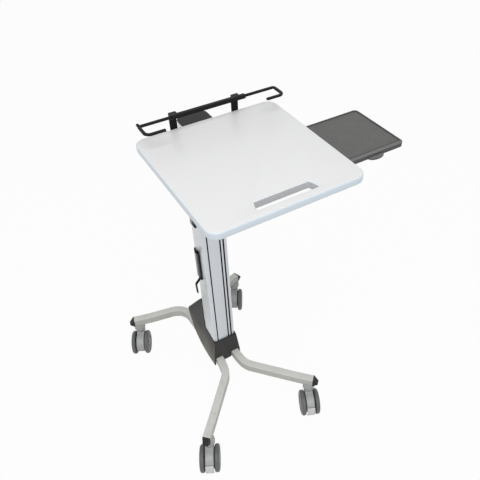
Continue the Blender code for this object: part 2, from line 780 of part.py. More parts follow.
def build_wheel(looks, swivel, name, side):
    """A crowned tread on a dished disc. The blind bore opens towards the body."""
    spot = empty("axis_" + name, swivel, (side * WHEEL_INNER, -CASTER_TRAIL, WHEEL_RADIUS))
    edge = WHEEL_RADIUS
    wide = WHEEL_WIDTH
    bore = AXLE + BORE_GAP
    profile = [
        (0.0, wide - 0.0050),
        (bore, wide - 0.0050),
        (bore, 0.0),
        (edge - 0.0060, 0.0),
        (edge - 0.0015, 0.0030),
        (edge, 0.0075),
        (edge, wide - 0.0075),
        (edge - 0.0015, wide - 0.0030),
        (edge - 0.0060, wide),
        (edge - 0.0105, wide),
        (edge - 0.0125, wide - 0.0022),
        (0.0170, wide - 0.0034),
        (0.0150, wide - 0.0018),
        (0.0, wide - 0.0010),
    ]
    return add_object(name, lay_wheel(turned_mesh(profile, 22), side), spot, looks["tyre"])


def lay_wheel(mesh_data, side):
    turn = Matrix.Rotation(side * math.pi / 2, 4, "Y")
    bmesh.ops.transform(mesh_data, matrix=turn, verts=mesh_data.verts[:])
    return mesh_data


def build_pedal(looks, swivel, name, body):
    """A lock pedal behind the hood that turns in about a pin at its upper end."""
    hinge = on_arc(SEAT_RADIUS + 0.0005, PEDAL_HINGE)
    origin = (0.0, *hinge)
    spot = empty("pedal_axis_" + name, swivel, origin)
    inner = SEAT_RADIUS - 0.0002
    outer = inner + PEDAL_THICK
    first = PEDAL_HINGE + math.radians(1.0)
    last = PEDAL_TOE + math.radians(2.0)
    outside = arc_points(first, last, outer, outer + PEDAL_FLARE)
    middle = inner + PEDAL_THICK / 2 + PEDAL_FLARE
    inside = arc_points(last, first - math.radians(1.0), inner + PEDAL_FLARE, inner + GAP + 0.0012)
    tip = [on_arc(middle + 0.0010, PEDAL_TOE)]
    outline = [Vector(point) for point in outside + tip + inside]
    half = CASTER_BODY_WIDTH / 2 - 0.0002
    shape = prism_mesh(outline, "X", -half, half)
    pedal = add_object("lock_pedal_" + name, shape, spot, looks["pedal"], origin)
    pin = along_x(rod_mesh(PEDAL_PIN, 2 * half, 12), (-half, *hinge))
    combine(pedal, "UNION", pin, origin)
    seat_at = (-half - 0.01, *hinge)
    seat = along_x(rod_mesh(PEDAL_PIN + GAP, CASTER_BODY_WIDTH + 0.02, 12), seat_at)
    combine(body, "DIFFERENCE", seat)
    return pedal


# Cord wraps on the left side of the column

WRAP_WIDTH = 0.016
WRAP_THICK = 0.006
WRAP_MIDDLE = 0.004
HOOK_THICK = 0.0045
TONGUE_WIDTH = 0.0105
TONGUE_ROOT = 0.010
TONGUE_RISE = 0.014
TONGUE_END = 0.058
TONGUE_BEND = 0.008
TONGUE_OUT = 0.0240
TONGUE_END_OUT = 0.0225
SHORT_HOOK_WIDTH = 0.0095
LOWER_WRAP = (COLUMN_TOP - 0.604, COLUMN_TOP - 0.471)
UPPER_WRAP = (COLUMN_TOP - 0.363, COLUMN_TOP - 0.232)


def tongue_line(face, end, away):
    """A long hook's line: out from the strap's end and then on along the column."""
    return [
        (face - WRAP_THICK / 2, WRAP_MIDDLE, end - away * TONGUE_ROOT),
        (face - TONGUE_OUT, WRAP_MIDDLE, end + away * TONGUE_RISE),
        (face - TONGUE_END_OUT, WRAP_MIDDLE, end + away * TONGUE_END),
    ]


def build_cord_wrap(cart, looks, word, low, high):
    """A strap on the column's side. The lower one has a hook at each end, the upper one a
    long hook at its head."""
    face = -COLUMN_WIDTH / 2 - GAP
    out = face - WRAP_THICK
    middle = WRAP_MIDDLE
    half = WRAP_WIDTH / 2
    strap = rounded([
        (face, high),
        (out, high - 0.003, 0.003),
        (out, low + 0.003, 0.003),
        (face, low),
    ])
    shape = prism_mesh(strap, "Y", middle - half, middle + half)
    wrap = add_object("cord_wrap_" + word, shape, cart, looks["black_steel"])
    if word == "lower":
        short = [
            (face - WRAP_THICK / 2, middle, high - 0.008),
            (face - 0.0110, middle, high + 0.001),
            (face - 0.0105, middle, high + 0.017),
        ]
        tongue = tongue_line(face, low, -1)
        hooks = [(tongue, TONGUE_BEND, TONGUE_WIDTH), (short, 0.005, SHORT_HOOK_WIDTH)]
    else:
        hooks = [(tongue_line(face, high, 1), TONGUE_BEND, TONGUE_WIDTH)]
    for corners, radius, wide in hooks:
        combine(wrap, "UNION", hook_mesh(rounded_path(corners, [radius]), wide, HOOK_THICK))
    near = middle + half + GAP
    far = COLUMN_REAR - COLUMN_CORNER
    back = rounded([
        (face - 0.0055, near, 0.0015),
        (face, near),
        (face, far),
        (face - 0.0055, far - 0.002, 0.0025),
    ])
    plate = prism_mesh(back, "Z", low + 0.001, high - 0.001)
    add_object("cord_plate_" + word, plate, cart, looks["hood"])
    return wrap


def hook_mesh(line, wide, thick):
    """A flat bar bent in the X-Z plane along the line, with its corners taken off."""
    made = bmesh.new()
    rings = []
    last = len(line) - 1
    for index, point in enumerate(line):
        back = (point - line[index - 1]).normalized() if index else None
        ahead = (line[index + 1] - point).normalized() if index < last else None
        forward = ((back or ahead) + (ahead or back)).normalized()
        across = Vector((0.0, 1.0, 0.0))
        out = forward.cross(across).normalized()
        ends = rectangle(-wide / 2, wide / 2, -thick / 2, thick / 2, 0.0012)
        rings.append([made.verts.new(point + across * u + out * v) for u, v in ends])
    made.faces.new(rings[0])
    made.faces.new(rings[-1])
    for near, far in zip(rings, rings[1:]):
        for step in range(len(near)):
            after = (step + 1) % len(near)
            made.faces.new((near[step], near[after], far[after], far[step]))
    return made


# Lift: everything that rises and falls with the worksurface

SURFACE_UNDER = SURFACE_TOP - SURFACE_THICKNESS
SURFACE_FRONT = SURFACE_REAR - SURFACE_DEPTH
PLATE_TOP = SURFACE_UNDER - GAP
PLATE_LOW = PLATE_TOP - 0.0044
CARRIAGE_TOP = COLUMN_TOP - 0.0070
CARRIAGE_LOW = CARRIAGE_TOP - CARRIAGE_HEIGHT
MAST_FRONT = COLUMN_FRONT - 0.0045
SUPPORT_HALF = 0.074
SUPPORT_REAR = -0.070
SUPPORT_FRONT = -0.376
SINK = 0.0050
SINK_DEEP = 0.0024
PILOT = SINK - 0.0025
PILOT_DEEP = 0.0125
SCREW_SPREAD = 0.060
SCREW_INSET = 0.016
SCREW_PLACES = [
    ("rear_left", -SCREW_SPREAD, SUPPORT_REAR - SCREW_INSET - 0.002),
    ("rear_right", SCREW_SPREAD, SUPPORT_REAR - SCREW_INSET - 0.002),
    ("front_left", -SCREW_SPREAD, SUPPORT_FRONT + SCREW_INSET),
    ("front_right", SCREW_SPREAD, SUPPORT_FRONT + SCREW_INSET),
]


def build_worksurface(lift, looks, origin):
    half = SURFACE_WIDTH / 2
    board = rectangle(-half, half, SURFACE_FRONT, SURFACE_REAR, SURFACE_CORNER)
    surface = add_object(
        "worksurface", prism_mesh(board, "Z", SURFACE_UNDER, SURFACE_TOP), lift, looks["laminate"], origin
    )
    soften(surface, SURFACE_EDGE, 2, 60.0)
    slot_front = SURFACE_FRONT + HANDLE_BAR
    slot_rear = slot_front + HANDLE_DEPTH
    slot = rounded([
        (-HANDLE_FRONT_WIDTH / 2, slot_front, HANDLE_CORNER),
        (HANDLE_FRONT_WIDTH / 2, slot_front, HANDLE_CORNER),
        (HANDLE_REAR_WIDTH / 2, slot_rear, HANDLE_CORNER),
        (-HANDLE_REAR_WIDTH / 2, slot_rear, HANDLE_CORNER),
    ])
    combine(surface, "DIFFERENCE", prism_mesh(slot, "Z", SURFACE_UNDER - 0.01, SURFACE_TOP + 0.01), origin)
    for _, x, y in SCREW_PLACES:
        pilot = circle(PILOT, (x, y), 12)
        hole = prism_mesh(pilot, "Z", SURFACE_UNDER - 0.005, SURFACE_UNDER + PILOT_DEEP)
        combine(surface, "DIFFERENCE", hole, origin)
    return surface


def build_support(lift, looks, origin):
    """The cantilever bracket: an upright in front of the column, a plate and two ribs."""
    half = SUPPORT_HALF
    plate = rounded([
        (-half, SUPPORT_REAR, 0.010),
        (-half, SUPPORT_FRONT, 0.012),
        (half, SUPPORT_FRONT, 0.012),
        (half, SUPPORT_REAR, 0.010),
        (MAST_WIDTH / 2, MAST_FRONT),
        (-MAST_WIDTH / 2, MAST_FRONT),
    ])
    support = add_object(
        "support_bracket", prism_mesh(plate, "Z", PLATE_LOW, PLATE_TOP), lift, looks["leg_paint"], origin
    )
    upright = rectangle(-MAST_WIDTH / 2, MAST_WIDTH / 2, CARRIAGE_LOW, PLATE_LOW + 0.001, 0.004)
    combine(support, "UNION", prism_mesh(upright, "Y", MAST_FRONT - MAST_PLATE, MAST_FRONT), origin)
    rib = rounded([
        (MAST_FRONT - 0.002, PLATE_LOW + 0.001),
        (MAST_FRONT - 0.002, CARRIAGE_LOW + 0.012),
        (MAST_FRONT - 0.014, CARRIAGE_LOW + 0.012, 0.006),
        (-0.182, PLATE_LOW - 0.006, 0.03),
        (-0.186, PLATE_LOW + 0.001),
    ])
    for side in (-1, 1):
        low = side * (MAST_WIDTH / 2 - 0.0025) - 0.0015
        combine(support, "UNION", prism_mesh(rib, "X", low, low + 0.003), origin)
    shank_hole = SINK - SINK_DEEP
    profile = [
        (0.0, -0.002),
        (SINK, -0.002),
        (SINK, 0.0),
        (shank_hole, SINK_DEEP),
        (shank_hole, 0.006),
        (0.0, 0.006),
    ]
    for _, x, y in SCREW_PLACES:
        sink = moved(turned_mesh(profile, 12), (x, y, PLATE_LOW))
        combine(support, "DIFFERENCE", sink, origin)
    return support


def build_surface_screws(lift, looks, origin):
    head = SINK - 0.0005
    shank = SINK - SINK_DEEP - 0.0005
    profile = [
        (0.0, 0.0002),
        (head, 0.0002),
        (shank, 0.0026),
        (shank, 0.0150),
        (0.0, 0.0165),
    ]
    for word, x, y in SCREW_PLACES:
        screw = moved(turned_mesh(profile, 12), (x, y, PLATE_LOW))
        add_object("surface_screw_" + word, screw, lift, looks["zinc"], origin)


PAD_HEIGHT = 0.022
PAD_LOW = (CARRIAGE_LOW + 0.004, CARRIAGE_TOP - 0.004 - PAD_HEIGHT)
PEG_RADIUS = 0.0040
PEG_Y = -0.010
ROLL_Y = -0.008
ROLL_Z = CARRIAGE_TOP - 0.055
ROLL_RADIUS = 0.0175
ROLL_HALF = 0.0150
PIN_RADIUS = 0.0040


def build_carriage(lift, looks, origin):
    """A folded channel inside the column. Its cheeks reach out through the two slots."""
    out = CARRIAGE_SPREAD + CARRIAGE_PLATE / 2
    inside = CARRIAGE_SPREAD - CARRIAGE_PLATE / 2
    front = MAST_FRONT + GAP
    back = 0.0170
    channel = rounded([
        (-out, front),
        (-inside, front),
        (-inside, back - CARRIAGE_PLATE),
        (inside, back - CARRIAGE_PLATE),
        (inside, front),
        (out, front),
        (out, back, 0.004),
        (-out, back, 0.004),
    ])
    carriage = add_object(
        "lift_carriage", prism_mesh(channel, "Z", CARRIAGE_LOW, CARRIAGE_TOP), lift, looks["zinc"], origin
    )
    through = 2 * out + 0.02
    for low in PAD_LOW:
        peg_hole = rod_mesh(PEG_RADIUS + BORE_GAP, through, 12)
        hole = along_x(peg_hole, (-through / 2, PEG_Y, low + PAD_HEIGHT / 2))
        combine(carriage, "DIFFERENCE", hole, origin)
    pin_hole = along_x(rod_mesh(PIN_RADIUS + BORE_GAP, through, 16), (-through / 2, ROLL_Y, ROLL_Z))
    combine(carriage, "DIFFERENCE", pin_hole, origin)
    return carriage


def build_glides(lift, looks, origin):
    """Pads that run on the column's side walls and behind its front lips."""
    inner_wall = COLUMN_WIDTH / 2 - COLUMN_WALL
    near = CARRIAGE_SPREAD + CARRIAGE_PLATE / 2 + GAP
    far = inner_wall - SLIDE_GAP
    front = COLUMN_FRONT + COLUMN_WALL + SLIDE_GAP
    soft = COLUMN_CORNER - COLUMN_WALL - SLIDE_GAP
    for side, across in ((-1, "left"), (1, "right")):
        for low, height in zip(PAD_LOW, ("lower", "upper")):
            outline = rounded([(near, front), (far, front, soft), (far, 0.010, 0.002), (near, 0.010)])
            block = [Vector((side * u, v)) for u, v in outline]
            pad = add_object(
                "glide_pad_{}_{}".format(height, across),
                prism_mesh(block, "Z", low, low + PAD_HEIGHT),
                lift,
                looks["glide"],
                origin,
            )
            start = side * (near - 0.0030) if side > 0 else -(near + 0.0040)
            peg = along_x(rod_mesh(PEG_RADIUS, 0.0070, 12), (start, PEG_Y, low + PAD_HEIGHT / 2))
            combine(pad, "UNION", peg, origin)


def build_lift_spring(cart, lift, looks, origin):
    """A rolled tape spring on a pin between the carriage's cheeks, fixed at the column's head."""
    pin_half = CARRIAGE_SPREAD + CARRIAGE_PLATE / 2 + 0.0030
    pin = along_x(rod_mesh(PIN_RADIUS, 2 * pin_half, 16), (-pin_half, ROLL_Y, ROLL_Z))
    add_object("spring_pin", pin, lift, looks["zinc"], origin)
    spin = empty("spring_roll_axis", lift, Vector((0.0, ROLL_Y, ROLL_Z)) - Vector(origin))
    centre = (0.0, ROLL_Y, ROLL_Z)
    bore = PIN_RADIUS + BORE_GAP
    ring = [(bore, 0.0), (ROLL_RADIUS, 0.0), (ROLL_RADIUS, 2 * ROLL_HALF), (bore, 2 * ROLL_HALF)]
    roll = along_x(turned_mesh(ring, 28), (-ROLL_HALF, ROLL_Y, ROLL_Z))
    add_object("lift_spring_roll", roll, spin, looks["spring"], centre)
    tape_front = ROLL_Y + ROLL_RADIUS + GAP
    tape = rectangle(-ROLL_HALF + 0.001, ROLL_HALF - 0.001, tape_front, tape_front + 0.0008)
    add_object(
        "lift_spring_tape", prism_mesh(tape, "Z", ROLL_Z - 0.004, COLUMN_TOP), cart, looks["spring"]
    )


# Side tray and its rails

TRAY_TOP = SURFACE_TOP - SURFACE_THICKNESS - TRAY_DROP
TRAY_LOW = TRAY_TOP - TRAY_HEIGHT
TRAY_REAR = TRAY_FRONT + TRAY_DEPTH
TAB_OUT = 0.0125
TAB_CENTRE = 0.3055
TAB_HALF = 0.024
TAB_ROOT = 0.004
TAB_THICK = 0.004
TAB_STEPS = 8


def build_tray(lift, looks, origin):
    centre = (TRAY_OUT, (TRAY_FRONT + TRAY_REAR) / 2, TRAY_LOW)
    slide = empty("tray_slide", lift, Vector(centre) - Vector(origin))
    plate = rounded([
        (TRAY_INNER, TRAY_FRONT, 0.004),
        (TRAY_OUT, TRAY_FRONT, TRAY_CORNER),
        (TRAY_OUT, TRAY_REAR, TRAY_CORNER),
        (TRAY_INNER, TRAY_REAR, 0.004),
    ])
    tray = add_object("side_tray", prism_mesh(plate, "Z", TRAY_LOW, TRAY_TOP), slide, looks["tray"], centre)
    soften(tray, 0.0015, 2, 60.0)
    rim = 0.004
    dish = rounded([
        (TRAY_INNER + rim, TRAY_FRONT + TRAY_RIM, 0.003),
        (TRAY_OUT - rim, TRAY_FRONT + TRAY_RIM, 0.009),
        (TRAY_OUT - rim, TRAY_REAR - rim, 0.009),
        (TRAY_INNER + rim, TRAY_REAR - rim, 0.003),
    ])
    combine(tray, "DIFFERENCE", prism_mesh(dish, "Z", TRAY_LOW + TRAY_FLOOR, TRAY_TOP + 0.01), centre)
    tab = [Vector((TAB_CENTRE + TAB_HALF, TRAY_FRONT + TAB_ROOT))]
    for step in range(TAB_STEPS + 1):
        turn = math.pi * step / TAB_STEPS
        across = TAB_CENTRE + TAB_HALF * math.cos(turn)
        tab.append(Vector((across, TRAY_FRONT - TAB_OUT * math.sin(turn))))
    tab.append(Vector((TAB_CENTRE - TAB_HALF, TRAY_FRONT + TAB_ROOT)))
    combine(tray, "UNION", prism_mesh(tab, "Z", TRAY_LOW, TRAY_LOW + TAB_THICK), centre)
    return tray


def build_tray_rails(lift, looks, origin):
    """Z-section rails screwed under the worksurface. Their feet carry the tray's edges."""
    start = -0.130
    end = SURFACE_WIDTH / 2 - 0.010
    thick = 0.0025
    foot_top = TRAY_LOW - GAP
    for word, web, into, away in (
        ("front", TRAY_FRONT - TAB_OUT - SLIDE_GAP, 1, -1),
        ("rear", TRAY_REAR + SLIDE_GAP, -1, 1),
    ):
        foot_reach = TAB_OUT + 0.0120 if word == "front" else 0.0120
        section = rounded([
            (web, foot_top),
            (web + into * foot_reach, foot_top),
            (web + into * foot_reach, foot_top - thick),
            (web + away * thick, foot_top - thick),
            (web + away * thick, PLATE_TOP - thick),
            (web + away * 0.0130, PLATE_TOP - thick),
            (web + away * 0.0130, PLATE_TOP),
            (web, PLATE_TOP),
        ])
        length = prism_mesh(section, "X", start, end)
        rail = add_object("tray_rail_" + word, length, lift, looks["zinc"], origin)
        if word == "rear":
            gap_half = SUPPORT_HALF + 0.0015
            notch = rectangle(-gap_half, gap_half, TRAY_REAR - 0.01, TRAY_REAR + 0.03)
            window = prism_mesh(notch, "Z", PLATE_LOW - SLIDE_GAP, PLATE_TOP + 0.01)
            combine(rail, "DIFFERENCE", window, origin)


# Retaining bar behind the worksurface, with two hooks that slide in its sleeve

RETAINER_Z = SURFACE_TOP + RETAINER_RISE
SLEEVE_HALF = 0.105
SLEEVE_WALL = 0.0020


def build_retainer_sleeve(lift, looks, origin):
    """A rectangular sleeve on two uprights that are screwed under the panel's rear edge."""
    deep = RETAINER_BAR / 2 + SLIDE_GAP
    tall = RETAINER_BAR_HEIGHT / 2 + SLIDE_GAP
    outer = rectangle(
        RETAINER_REAR - deep - SLEEVE_WALL,
        RETAINER_REAR + deep + SLEEVE_WALL,
        RETAINER_Z - tall - SLEEVE_WALL,
        RETAINER_Z + tall + SLEEVE_WALL,
        0.003,
    )
    tube = prism_mesh(outer, "X", -SLEEVE_HALF, SLEEVE_HALF)
    sleeve = add_object("retainer_sleeve", tube, lift, looks["black_steel"], origin)
    stand = SURFACE_REAR + GAP
    strap = 0.003
    bracket = [
        (RETAINER_REAR, RETAINER_Z - tall - SLEEVE_WALL + 0.001),
        (stand + strap, RETAINER_Z - tall - SLEEVE_WALL + 0.001),
        (stand + strap, PLATE_TOP - strap),
        (stand - 0.028, PLATE_TOP - strap),
        (stand - 0.028, PLATE_TOP),
        (stand, PLATE_TOP),
        (stand, RETAINER_Z - tall - SLEEVE_WALL - strap + 0.001),
        (RETAINER_REAR, RETAINER_Z - tall - SLEEVE_WALL - strap + 0.001),
    ]
    outline = rounded([(y, z) for y, z in bracket])
    for side in (-1, 1):
        low = side * 0.090 - 0.010
        combine(sleeve, "UNION", prism_mesh(outline, "X", low, low + 0.020), origin)
    bore = rectangle(RETAINER_REAR - deep, RETAINER_REAR + deep, RETAINER_Z - tall, RETAINER_Z + tall)
    combine(sleeve, "DIFFERENCE", prism_mesh(bore, "X", -SLEEVE_HALF - 0.01, SLEEVE_HALF + 0.01), origin)
    return sleeve


HOOK_FRONT = 0.050
STUB_RADIUS = 0.0040
STUB_LENGTH = 0.0115


def build_hook(lift, looks, origin, side, word):
    """A C-shaped hook: a bar in the sleeve, a side bar forward and a bar back inward."""
    wide = side * RETAINER_HALF_WIDTH[word]
    centre = (wide, RETAINER_REAR, RETAINER_Z)
    slide = empty("hook_slide_" + word, lift, Vector(centre) - Vector(origin))
    front = RETAINER_REAR - RETAINER_REACH
    line = rounded_path(
        [
            (side * (RETAINER_TRAVEL + 0.008), RETAINER_REAR, RETAINER_Z),
            (wide, RETAINER_REAR, RETAINER_Z),
            (wide, front, RETAINER_Z),
            (wide - side * HOOK_FRONT, front, RETAINER_Z),
        ],
        [0.0055, 0.013],
    )
    half = RETAINER_BAR / 2
    tall = RETAINER_BAR_HEIGHT / 2
    section = rectangle(-half, half, -tall, tall, 0.0020)
    hook = add_object("retainer_hook_" + word, swept_mesh(line, section), slide, looks["black_steel"], centre)
    if side < 0:
        profile = [
            (0.0, 0.0),
            (STUB_RADIUS, 0.0),
            (STUB_RADIUS, STUB_LENGTH - 0.0015),
            (STUB_RADIUS - 0.0010, STUB_LENGTH),
            (0.0, STUB_LENGTH),
        ]
        stub = turned_mesh(profile, 12)
        lay = Matrix.Translation((wide + 0.001, RETAINER_REAR, RETAINER_Z))
        lay = lay @ Matrix.Rotation(-math.pi / 2, 4, "X")
        bmesh.ops.transform(stub, matrix=lay, verts=stub.verts[:])
        combine(hook, "UNION", stub, centre)
    return hook


def smooth_by_angle():
    """A node group that shades the faces smooth and keeps each edge over 30 degrees sharp."""
    group = bpy.data.node_groups.new("smooth_by_angle", "GeometryNodeTree")
    group.interface.new_socket("Geometry", in_out="INPUT", socket_type="NodeSocketGeometry")
    group.interface.new_socket("Geometry", in_out="OUTPUT", socket_type="NodeSocketGeometry")
    entry = group.nodes.new("NodeGroupInput")
    leave = group.nodes.new("NodeGroupOutput")
    angle = group.nodes.new("GeometryNodeInputMeshEdgeAngle")
    shallow = group.nodes.new("FunctionNodeCompare")
    shallow.operation = "LESS_EQUAL"
    shallow.inputs[1].default_value = math.radians(30.0)
    faces = group.nodes.new("GeometryNodeSetShadeSmooth")
    edges = group.nodes.new("GeometryNodeSetShadeSmooth")
    edges.domain = "EDGE"
    group.links.new(entry.outputs[0], faces.inputs["Geometry"])
    group.links.new(faces.outputs["Geometry"], edges.inputs["Geometry"])
    group.links.new(angle.outputs["Unsigned Angle"], shallow.inputs[0])
    group.links.new(shallow.outputs["Result"], edges.inputs["Shade Smooth"])
    group.links.new(edges.outputs["Geometry"], leave.inputs[0])
    return group


def shade_round():
    """Shades every piece smooth by angle, with its flat faces left flat."""
    group = smooth_by_angle()
    for thing in bpy.data.objects:
        if thing.type != "MESH" or thing.hide_render:
            continue
        thing.modifiers.new("smooth_by_angle", "NODES").node_group = group
        flat = thing.modifiers.new("flat_faces_flat", "WEIGHTED_NORMAL")
        flat.keep_sharp = True


def stand_on_origin(cart):
    """Moves the cart so that its box is centred over the origin, and says by how much."""
    bpy.context.view_layer.update()
    graph = bpy.context.evaluated_depsgraph_get()
    low = Vector((1e9, 1e9, 1e9))
    high = Vector((-1e9, -1e9, -1e9))
    for thing in bpy.data.objects:
        if thing.type != "MESH" or thing.hide_render:
            continue
        ready = thing.evaluated_get(graph)
        mesh = ready.to_mesh()
        for vertex in mesh.vertices:
            point = ready.matrix_world @ vertex.co
            low = Vector(map(min, low, point))
            high = Vector(map(max, high, point))
        ready.to_mesh_clear()
    cart.location = (-(low.x + high.x) / 2, -(low.y + high.y) / 2, -low.z)
    bpy.context.view_layer.update()
    print("cart offset", tuple(round(value, 6) for value in cart.location))
    print("cart size", tuple(round(value, 6) for value in high - low))


def main():
    clear_scene()
    looks = finishes()
    cart = empty("cart", None, (0.0, 0.0, 0.0))
    build_base_frame(cart, looks)
    build_column_bolts(cart, looks)
    build_beam_cap(cart, looks)
    build_shroud(cart, looks)
    build_column(cart, looks)
    build_front_panel(cart, looks)
    build_top_cap(cart, looks)
    for end in ("front", "rear"):
        for side in (-1, 1):
            stem = build_leg(cart, looks, side, end)
            build_caster(cart, looks, leg_name(side, end), stem, end == "front")
    build_cord_wrap(cart, looks, "lower", *LOWER_WRAP)
    build_cord_wrap(cart, looks, "upper", *UPPER_WRAP)

    lift_origin = (0.0, 0.0, SURFACE_TOP)
    lift = empty("lift", cart, lift_origin)
    build_worksurface(lift, looks, lift_origin)
    build_support(lift, looks, lift_origin)
    build_surface_screws(lift, looks, lift_origin)
    build_carriage(lift, looks, lift_origin)
    build_glides(lift, looks, lift_origin)
    build_lift_spring(cart, lift, looks, lift_origin)
    build_tray(lift, looks, lift_origin)
    build_tray_rails(lift, looks, lift_origin)
    build_retainer_sleeve(lift, looks, lift_origin)
    for side, word in ((-1, "left"), (1, "right")):
        build_hook(lift, looks, lift_origin, side, word)
    shade_round()
    stand_on_origin(cart)


main()
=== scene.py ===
# %% [markdown]
# # A rolling cart, dressed for its photograph
#
# This lesson takes the solid model of a height-adjustable rolling cart and gives it the
# surfaces, the soft edges and the small shapes that the real one shows. The solid model
# arrives as the frame: every part of it is an object that already stands in its place.
# Some parts keep their shape and get a better finish. Others are modelled again by hand,
# with more care than a solid model needs, and then stand in for the plain part.

import json
import math

import bmesh
import bpy
from mathutils import Matrix, Vector


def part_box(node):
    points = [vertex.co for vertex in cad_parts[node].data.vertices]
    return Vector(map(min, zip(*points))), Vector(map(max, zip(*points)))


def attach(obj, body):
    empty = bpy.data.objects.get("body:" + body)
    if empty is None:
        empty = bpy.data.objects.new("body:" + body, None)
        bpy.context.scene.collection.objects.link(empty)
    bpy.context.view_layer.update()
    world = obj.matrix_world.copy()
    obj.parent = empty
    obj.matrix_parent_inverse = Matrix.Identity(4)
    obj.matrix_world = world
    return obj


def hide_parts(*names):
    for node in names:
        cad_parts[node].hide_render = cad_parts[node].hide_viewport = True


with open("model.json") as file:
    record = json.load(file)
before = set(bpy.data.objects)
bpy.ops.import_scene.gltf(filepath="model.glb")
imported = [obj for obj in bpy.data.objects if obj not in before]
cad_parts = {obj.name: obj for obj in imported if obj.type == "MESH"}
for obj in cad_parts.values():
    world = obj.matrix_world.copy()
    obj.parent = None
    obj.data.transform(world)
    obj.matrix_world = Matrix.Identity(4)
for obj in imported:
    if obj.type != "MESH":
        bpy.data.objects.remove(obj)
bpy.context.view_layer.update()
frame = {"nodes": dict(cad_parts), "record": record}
NODES = frame["nodes"]
print("parts in the frame:", len(NODES))

# %% [markdown]
# The cart was drawn round its column, and then its whole box was centred over the
# origin. Sizes on the cart are easier to read from the column, so this cell works out
# how far the column's axis stands from the origin. `at()` turns a place on the cart into
# a place in the scene.

# %% Find the column's axis
COLUMN_LOW, COLUMN_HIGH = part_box("column")
AXIS = (COLUMN_LOW + COLUMN_HIGH) / 2
AXIS.z = 0.0
UP = Vector((0.0, 0.0, 1.0))


def at(x, y, z):
    """A point on the cart, measured from the column's axis at floor level."""
    return AXIS + Vector((x, y, z))


def turn_to(x_axis, y_axis, z_axis):
    """The matrix that turns an object's axes to these three directions."""
    return Matrix((x_axis, y_axis, z_axis)).transposed().to_4x4()


print("column axis:", [round(value, 5) for value in AXIS])

# %% [markdown]
# ## Camera
#
# The photograph looks down on the cart from its front left corner, from not very far
# away, so near edges look clearly larger than far ones. Lens and place were found by
# matching corners of the worktop, the column, the legs and the wheels. The horizon is
# not quite level, which a small roll takes care of.

# %% Set the camera
AZIMUTH = math.radians(-30.8763)
ELEVATION = math.radians(43.8959)
ROLL = math.radians(-0.8327)
CAMERA_PLACE = (-0.5178, -1.2181, 1.9583)
FOCAL_PIXELS = 528.7328
CENTRE_PIXEL = (264.3714, 255.7458)
PHOTO_SIDE = 480
SENSOR = 36.0

backward = Vector((
    math.sin(AZIMUTH) * math.cos(ELEVATION),
    -math.cos(AZIMUTH) * math.cos(ELEVATION),
    math.sin(ELEVATION),
))
level_right = (-backward).cross(UP).normalized()
level_up = level_right.cross(-backward)
right = math.cos(ROLL) * level_right + math.sin(ROLL) * level_up
up = math.cos(ROLL) * level_up - math.sin(ROLL) * level_right

bpy.ops.object.camera_add()
camera = bpy.context.object
camera.matrix_world = Matrix.Translation(at(*CAMERA_PLACE)) @ turn_to(right, up, backward)
camera.data.sensor_width = SENSOR
camera.data.lens = FOCAL_PIXELS * SENSOR / PHOTO_SIDE
camera.data.shift_x = -(CENTRE_PIXEL[0] - PHOTO_SIDE / 2) / PHOTO_SIDE
camera.data.shift_y = (CENTRE_PIXEL[1] - PHOTO_SIDE / 2) / PHOTO_SIDE
bpy.context.scene.camera = camera
bpy.context.scene.view_settings.view_transform = "Standard"
print("lens:", round(camera.data.lens, 2), "mm")

# %% [markdown]
# ## Light and floor
#
# The photograph is a studio picture: a white surround, one large soft lamp high on the
# left, and so much light from all sides that shadows are faint. An even world lights
# every side, one large area lamp adds a direction, and a weak one on the left lifts the
# shaded side. The floor is a real surface that catches a shadow, but what the camera sees
# of it is mostly plain white. So is what metal mirrors of it.

# %% Light the scene
WORLD_LEVEL = 0.42
WORLD_TINT = (0.97, 0.985, 1.0, 1.0)
WHITE = (1.0, 1.0, 1.0, 1.0)
LAMP_TARGET = Vector((0.0, 0.0, 0.7))
LAMPS = (    # name, place, side in metres, power in watts
    ("key_lamp", (-1.0, -2.5, 4.4), 2.8, 104.0),
    ("fill_lamp", (-2.6, 0.4, 2.6), 2.4, 9.0),
)


def add_node(tree, kind, inputs, **settings):
    """A new node. Each of its inputs gets a link to a socket or a plain value."""
    made = tree.nodes.new(kind)
    for key, value in settings.items():
        setattr(made, key, value)
    for key, value in inputs.items():
        if isinstance(value, bpy.types.NodeSocket):
            tree.links.new(value, made.inputs[key])
        else:
            made.inputs[key].default_value = value
    return made


def maths(tree, operation, first, second):
    """Arithmetic on two values; either may be a plain number."""
    step = add_node(tree, "ShaderNodeMath", {0: first, 1: second}, operation=operation)
    return step.outputs[0]


def seen_directly(tree):
    """1 for rays from the camera, off a mirror or through glass, and 0 for the rest."""
    rays = tree.nodes.new("ShaderNodeLightPath").outputs
    total = maths(tree, "MAXIMUM", rays["Is Camera Ray"], rays["Is Glossy Ray"])
    return maths(tree, "MAXIMUM", total, rays["Is Transmission Ray"])


world = bpy.data.worlds.new("studio")
bpy.context.scene.world = world
world.use_nodes = True
sky = world.node_tree
lit = sky.nodes["Background"]
lit.inputs["Color"].default_value = WORLD_TINT
lit.inputs["Strength"].default_value = WORLD_LEVEL
shown = add_node(sky, "ShaderNodeBackground", {"Color": WHITE, "Strength": 1.0})
choose = add_node(sky, "ShaderNodeMixShader", {
    0: seen_directly(sky), 1: lit.outputs[0], 2: shown.outputs[0]})
sky.links.new(choose.outputs[0], sky.nodes["World Output"].inputs["Surface"])

for name, spot, side, power in LAMPS:
    bpy.ops.object.light_add(type="AREA", location=spot)
    lamp = bpy.context.object
    lamp.name = name
    lamp.data.size = side
    lamp.data.energy = power
    aim = LAMP_TARGET - Vector(spot)
    lamp.rotation_euler = aim.to_track_quat("-Z", "Y").to_euler()

